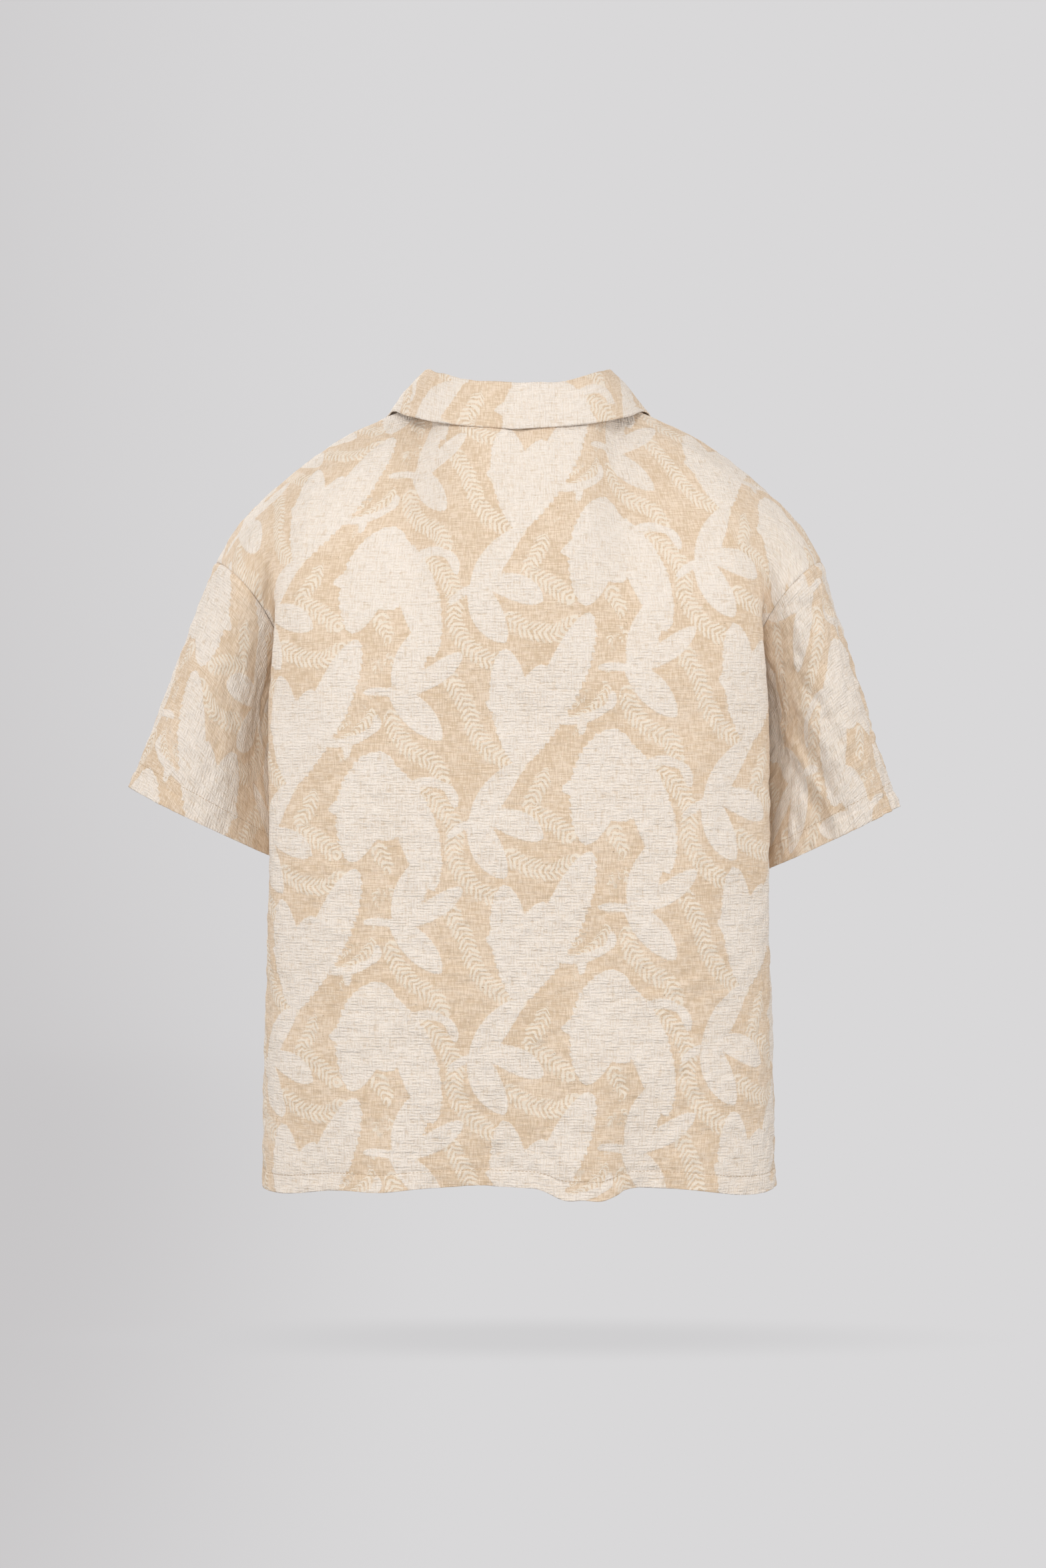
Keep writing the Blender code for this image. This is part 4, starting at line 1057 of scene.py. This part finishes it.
def makeStitchTree():
    # small threads set along a line of edges
    tree = bpy.data.node_groups.new("stitchLine", "GeometryNodeTree")
    tree.is_modifier = True
    tree.interface.new_socket(name="Geometry", in_out="OUTPUT", socket_type="NodeSocketGeometry")
    tree.interface.new_socket(name="Geometry", in_out="INPUT", socket_type="NodeSocketGeometry")
    sockets = {}
    for name in stitchNames + ("thread",):
        kind = {"seed": "Int", "thread": "Material"}.get(name, "Float")
        socket = tree.interface.new_socket(name=name, in_out="INPUT", socket_type="NodeSocket" + kind)
        sockets[name] = socket.identifier
    start = addNode(tree, "NodeGroupInput")
    line = addNode(tree, "GeometryNodeMeshToCurve", {"Mesh": start.outputs["Geometry"]})
    even = addNode(tree, "GeometryNodeResampleCurve", {"Curve": line.outputs[0],
                                                       "Length": start.outputs["spacing"]}, mode="LENGTH")
    ball = addNode(tree, "GeometryNodeMeshUVSphere", {"Segments": 6, "Rings": 4, "Radius": 1.0})
    half = addNode(tree, "ShaderNodeMath", {0: start.outputs["length"], 1: 0.5}, operation="MULTIPLY")
    size = addNode(tree, "ShaderNodeCombineXYZ", {0: half.outputs[0], 1: start.outputs["radius"],
                                                  2: start.outputs["radius"]})
    stitch = addNode(tree, "GeometryNodeTransform", {"Geometry": ball.outputs[0], "Scale": size.outputs[0]})
    tangent = addNode(tree, "GeometryNodeInputTangent")
    facing = addNode(tree, "FunctionNodeAlignRotationToVector", {"Vector": tangent.outputs[0]}, axis="X")
    least = addNode(tree, "ShaderNodeMath", {0: start.outputs["wobble"], 1: -1.0}, operation="MULTIPLY")
    spread = addNode(tree, "FunctionNodeRandomValue", {2: least.outputs[0], 3: start.outputs["wobble"],
                                                       "Seed": start.outputs["seed"]}, data_type="FLOAT")
    tilt = addNode(tree, "ShaderNodeMath", {0: spread.outputs[1], 1: start.outputs["quarterTurn"]},
                   operation="ADD")
    spin = addNode(tree, "ShaderNodeCombineXYZ", {1: tilt.outputs[0]})
    turned = addNode(tree, "FunctionNodeRotateRotation", {0: facing.outputs[0], 1: spin.outputs[0]},
                     rotation_space="LOCAL")
    placed = addNode(tree, "GeometryNodeInstanceOnPoints", {"Points": even.outputs[0],
                                                            "Instance": stitch.outputs[0],
                                                            "Rotation": turned.outputs[0]})
    real = addNode(tree, "GeometryNodeRealizeInstances", {"Geometry": placed.outputs[0]})
    coloured = addNode(tree, "GeometryNodeSetMaterial", {"Geometry": real.outputs[0],
                                                         "Material": start.outputs["thread"]})
    addNode(tree, "NodeGroupOutput", {"Geometry": coloured.outputs[0]})
    return tree, sockets


def makeStitches(name, lines, lift, thread, values):
    # lines are rows of points on the cloth; the result is one plain mesh
    vertices, edges = [], []
    for points, normals in lines:
        first = len(vertices)
        vertices += (points + normals * lift).tolist()
        edges += [(first + index, first + index + 1) for index in range(len(points) - 1)]
    mesh = bpy.data.meshes.new(name + "Line")
    mesh.from_pydata(vertices, edges, [])
    carrier = bpy.data.objects.new(name + "Line", mesh)
    scene.collection.objects.link(carrier)
    modifier = carrier.modifiers.new("stitches", "NODES")
    modifier.node_group = stitchTree
    modifier[stitchSockets["thread"]] = thread
    for key, value in zip(stitchNames, values):
        modifier[stitchSockets[key]] = value
    view = bpy.context.evaluated_depsgraph_get()
    made = bpy.data.meshes.new_from_object(carrier.evaluated_get(view), depsgraph=view)
    carrier.modifiers.remove(modifier)
    bpy.data.objects.remove(carrier)
    made.shade_smooth()
    piece = bpy.data.objects.new(name, made)
    scene.collection.objects.link(piece)
    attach(piece, "root")
    return piece


threadMaterial = makeThreadMaterial()
stitchTree, stitchSockets = makeStitchTree()
outer, normals, row = backParts
sewn = {"backStitches": [(outer[row], normals[row])]}
for side, name in sideNames.items():
    outer, normals, row = sleeveParts[side]
    around = np.append(np.arange(outer.shape[1]), 0)
    sewn["sleeveStitches" + name] = [(outer[row][around], normals[row][around])]
    outer, normals, row = frontParts[side]
    edge = sewing["edgeColumn"]
    sewn["frontStitches" + name] = [(outer[row], normals[row]), (outer[row:, edge], normals[row:, edge])]
for name, lines in sewn.items():
    makeStitches(name, lines, sewing["lift"], threadMaterial, seamStitch)
print("stitches ready")


# metres: face is the share of a button's thickness below its well, and Proud is how far a thing stands out
buttons = {
    "count": 6, "thickness": 0.0026, "face": 0.72, "holeReach": 0.0013, "holeRadius": 0.00055,
    "holeProud": 0.0001, "holeDepth": 0.0003, "threadProud": 0.00025, "threadReach": 1.2,
    "slit": 0.0145, "slitHalf": 0.00085, "tack": 0.0012, "linePoints": 12, "tackPoints": 3, "blend": 0.0018,
    "nut": "#D9C4A3", "nutStreak": "#8F744F", "streakScale": (900.0, 60.0, 160.0), "polish": 0.38, "ior": 1.5,
    "holeShade": "#2E241A",
}


def makeButtonMaterial():
    # turned corozo nut: tan with darker growth streaks and a low polish
    material, tree, shader = newMaterial("corozoNut")
    place = addNode(tree, "ShaderNodeTexCoord")
    drawn = addNode(tree, "ShaderNodeVectorMath", {0: place.outputs["Object"], 1: buttons["streakScale"]},
                    operation="MULTIPLY")
    grain = addNode(tree, "ShaderNodeTexNoise", {"Vector": drawn.outputs[0], "Scale": 1.0, "Detail": 3.0})
    tone = addNode(tree, "ShaderNodeMix", {0: grain.outputs["Fac"], 6: hexToLinear(buttons["nutStreak"]),
                                           7: hexToLinear(buttons["nut"])}, data_type="RGBA")
    tree.links.new(tone.outputs[2], shader.inputs["Base Color"])
    shader.inputs["Roughness"].default_value = buttons["polish"]
    shader.inputs["IOR"].default_value = buttons["ior"]
    return material


def makeHoleMaterial():
    # painted shade: a dark colour for the inside of a drilled hole or a slit
    material, _, shader = newMaterial("shadedHole")
    shader.inputs["Base Color"].default_value = hexToLinear(buttons["holeShade"])
    shader.inputs["Roughness"].default_value = 1.0
    return material


def makeDiscs(name, places, radius, thick, material, sides=12):
    # small upright discs that face the front, in one mesh
    mesh = bpy.data.meshes.new(name)
    editor = bmesh.new()
    turns = [2 * math.pi * index / sides for index in range(sides)]
    for x, y, z in places:
        ring = [(x + radius * math.cos(turn), z + radius * math.sin(turn)) for turn in turns]
        front, back = ([editor.verts.new((atX, y + depth, atZ)) for atX, atZ in ring] for depth in (0, thick))
        for index in range(sides):
            after = (index + 1) % sides
            editor.faces.new((front[index], front[after], back[after], back[index]))
        editor.faces.new(front)
        editor.faces.new(back[::-1])
    bmesh.ops.recalc_face_normals(editor, faces=editor.faces)
    editor.to_mesh(mesh)
    editor.free()
    mesh.materials.append(material)
    piece = bpy.data.objects.new(name, mesh)
    scene.collection.objects.link(piece)
    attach(piece, "root")
    return piece


def frontLine(start, end, count):
    # an evenly spaced line on the outside of the left front, from one (x, z) to another, with its normals
    outer, normals, _ = frontParts[1]
    line, facing = [], []
    for x, z in zip(np.linspace(start[0], end[0], count), np.linspace(start[1], end[1], count)):
        off = (outer[..., 0] - x) ** 2 + (outer[..., 2] - z) ** 2
        weight = np.exp(-off / buttons["blend"] ** 2)
        line.append((x, float((weight * outer[..., 1]).sum() / weight.sum()), z))
        facing.append(unit((weight[..., None] * normals).sum(axis=(0, 1))))
    return np.array(line), np.array(facing)


buttonMaterial, holeMaterial = makeButtonMaterial(), makeHoleMaterial()
holes, crosses, slits, satins, tacks = [], [], [], [], []
outward = np.tile((0.0, -1.0, 0.0), (2, 1))
for number in range(1, buttons["count"] + 1):
    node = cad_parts[f"button_{number}"]
    for slot in node.material_slots:
        slot.material = buttonMaterial
    low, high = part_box(f"button_{number}")
    x, z = (low[0] + high[0]) / 2, (low[2] + high[2]) / 2
    well = low[1] + buttons["thickness"] * (1 - buttons["face"])
    reach, half = buttons["holeReach"], buttons["slit"] / 2
    slits.append(frontLine((x, z - half), (x, z + half), buttons["linePoints"]))
    for side in (-1, 1):
        across, along = x + side * reach, reach * buttons["threadReach"]
        holes += [(across, well - buttons["holeProud"], z + up * reach) for up in (-1, 1)]
        level = well - buttons["threadProud"]
        crosses.append((np.array([(across, level, z - along), (across, level, z + along)]), outward))
        edge, foot = x + side * buttons["slitHalf"], z + side * half
        satins.append(frontLine((edge, z - half), (edge, z + half), buttons["linePoints"]))
        tacks.append(frontLine((x, foot), (x, foot + side * buttons["tack"]), buttons["tackPoints"]))
# dark discs of painted shade stand for the buttons' drilled holes, and a dark line of painted shade for each
# buttonhole's slit
makeDiscs("buttonHoles", holes, buttons["holeRadius"], buttons["holeDepth"], holeMaterial)
makeStitches("buttonThreads", crosses, 0.0, threadMaterial, crossStitch)
makeStitches("buttonholeSlits", slits, 0.0, holeMaterial, slitShade)
makeStitches("buttonholeEdges", satins, 0.0, threadMaterial, satinStitch)
makeStitches("buttonholeTacks", tacks, 0.0, threadMaterial, tackStitch)
print("buttons ready")


# the studio
# dimTone is a painted falloff of light on the paper, and shadowTone a painted shadow under the shirt
studio = {
    "floor": -0.86, "radius": 5.2, "curve": 1.4, "wall": 3.2, "turns": 96, "floorRings": 6, "curveRings": 14,
    "tone": "#D9D8D9", "dimTone": "#C8C6C7", "dimEdges": (0.1, 2.4), "dimSlope": 0.645, "dimStart": 4.35,
    "dimBehind": (2.5, 1.2), "shadowTone": "#D0CFD0", "shadowWide": 0.50, "shadowDeep": 0.16,
    "shadowEdges": (1.0, 0.2), "floorSkin": (0.02, 0.01), "air": "#F4F6FA", "airStrength": 0.47,
    "lens": 85, "sensor": 36, "camera": (-0.004, 3.43, -0.347),
}
# each lamp: where it stands, where it points, its width in metres and its power in watts
lamps = {
    "keyLight": ((0.7, 3.0, 1.5), (0, 0, -0.35), 1.0, 36),
    "softLight": ((0, 3.7, -0.1), (0, 0, -0.35), 0.8, 15),
    "leftLight": ((2.75, 1.5, 0.3), (0.15, 0, -0.35), 1.0, 30),
    "rightLight": ((-2.75, 1.5, 0.3), (-0.15, 0, -0.35), 1.0, 35),
    "topLight": ((0, 0.3, 2.6), (0, 0, -0.4), 1.8, 5),
    "frontLight": ((0.9, -2.8, 1.4), (0, 0, -0.35), 1.4, 62),
}


def makeBackdropMaterial():
    # seamless studio paper that glows evenly, with a painted falloff of light towards one side and a painted
    # shadow of the shirt on its floor
    material, tree, shader = newMaterial("glowingPaper")
    tree.nodes.remove(shader)
    look = studio
    maths, vectorMaths = "ShaderNodeMath", "ShaderNodeVectorMath"
    ramp, soft = "ShaderNodeMapRange", "SMOOTHSTEP"
    place = addNode(tree, "ShaderNodeTexCoord")
    parts = addNode(tree, "ShaderNodeSeparateXYZ", {0: place.outputs["Object"]})
    x, y, z = parts.outputs[0], parts.outputs[1], parts.outputs[2]

    # painted falloff: the glow darkens towards one side, sooner on the floor than on the wall, and not behind
    # the camera
    nearness = addNode(tree, maths, {0: y, 1: look["dimSlope"], 2: look["dimStart"]},
                       operation="MULTIPLY_ADD")
    sideways = addNode(tree, maths, {0: x, 1: nearness.outputs[0]}, operation="MULTIPLY")
    leftward = addNode(tree, ramp, {0: sideways.outputs[0], 1: look["dimEdges"][0], 2: look["dimEdges"][1]},
                       interpolation_type=soft)
    behind = addNode(tree, ramp, {0: y, 1: look["dimBehind"][0], 2: look["dimBehind"][1]},
                     interpolation_type=soft)
    falloff = addNode(tree, maths, {0: leftward.outputs[0], 1: behind.outputs[0]}, operation="MULTIPLY")
    paper = addNode(tree, "ShaderNodeMix", {0: falloff.outputs[0], 6: hexToLinear(look["tone"]),
                                            7: hexToLinear(look["dimTone"])}, data_type="RGBA")

    # painted shadow: a soft oval on the floor alone
    oval = (1 / look["shadowWide"], 1 / look["shadowDeep"], 0.0)
    flat = addNode(tree, vectorMaths, {0: place.outputs["Object"], 1: oval}, operation="MULTIPLY")
    reach = addNode(tree, vectorMaths, {0: flat.outputs[0]}, operation="LENGTH")
    shade = addNode(tree, ramp, {0: reach.outputs["Value"], 1: look["shadowEdges"][0],
                                 2: look["shadowEdges"][1]}, interpolation_type=soft)
    onFloor = addNode(tree, ramp, {0: z, 1: look["floor"] + look["floorSkin"][0],
                                   2: look["floor"] + look["floorSkin"][1]})
    shadow = addNode(tree, maths, {0: shade.outputs[0], 1: onFloor.outputs[0]}, operation="MULTIPLY")
    tone = addNode(tree, "ShaderNodeMix", {0: shadow.outputs[0], 6: paper.outputs[2],
                                           7: hexToLinear(look["shadowTone"])}, data_type="RGBA")
    glow = addNode(tree, "ShaderNodeEmission", {"Color": tone.outputs[2], "Strength": 1.0})
    tree.links.new(glow.outputs[0], tree.nodes["Material Output"].inputs["Surface"])
    return material


def makeStudio():
    # one seamless cove all round
    floor, curve, straight = studio["floor"], studio["curve"], studio["radius"] - studio["curve"]
    profile = [(reach, floor) for reach in np.linspace(0, straight, studio["floorRings"])]
    for angle in np.linspace(0, math.pi / 2, studio["curveRings"])[1:]:
        profile.append((straight + curve * math.sin(angle), floor + curve * (1 - math.cos(angle))))
    profile.append((studio["radius"], floor + studio["wall"]))
    turns = np.linspace(0, 2 * math.pi, studio["turns"] + 1)[:-1]
    vertices = [(reach * math.sin(turn), reach * math.cos(turn), z) for reach, z in profile for turn in turns]
    ids = np.arange(len(vertices)).reshape(len(profile), studio["turns"])
    faces = quadFaces(np.concatenate([ids, ids[:, :1]], axis=1))
    cove = bpy.data.objects.new("cove", meshFrom("cove", vertices, faces, makeBackdropMaterial(), 0.001))
    cove.visible_diffuse = False
    scene.collection.objects.link(cove)


def makeLamp(name, place, target, size, power):
    light = bpy.data.lights.new(name, "AREA")
    light.shape = "SQUARE"
    light.size = size
    light.energy = power
    lamp = bpy.data.objects.new(name, light)
    lamp.location = place
    lamp.rotation_mode = "QUATERNION"
    lamp.rotation_quaternion = (Vector(target) - Vector(place)).to_track_quat("-Z", "Y")
    scene.collection.objects.link(lamp)


def makeAir():
    world = bpy.data.worlds.new("studioAir")
    world.use_nodes = True
    background = world.node_tree.nodes["Background"]
    background.inputs["Color"].default_value = hexToLinear(studio["air"])
    background.inputs["Strength"].default_value = studio["airStrength"]
    scene.world = world


def makeCamera():
    camera = bpy.data.cameras.new("backView")
    camera.lens = studio["lens"]
    camera.sensor_width = studio["sensor"]
    eye = bpy.data.objects.new("backView", camera)
    eye.location = studio["camera"]
    eye.rotation_euler = (math.pi / 2, 0, math.pi)
    scene.collection.objects.link(eye)
    scene.camera = eye
    scene.view_settings.view_transform = "Standard"


makeStudio()
for name, values in lamps.items():
    makeLamp(name, *values)
makeAir()
makeCamera()
print("studio ready")
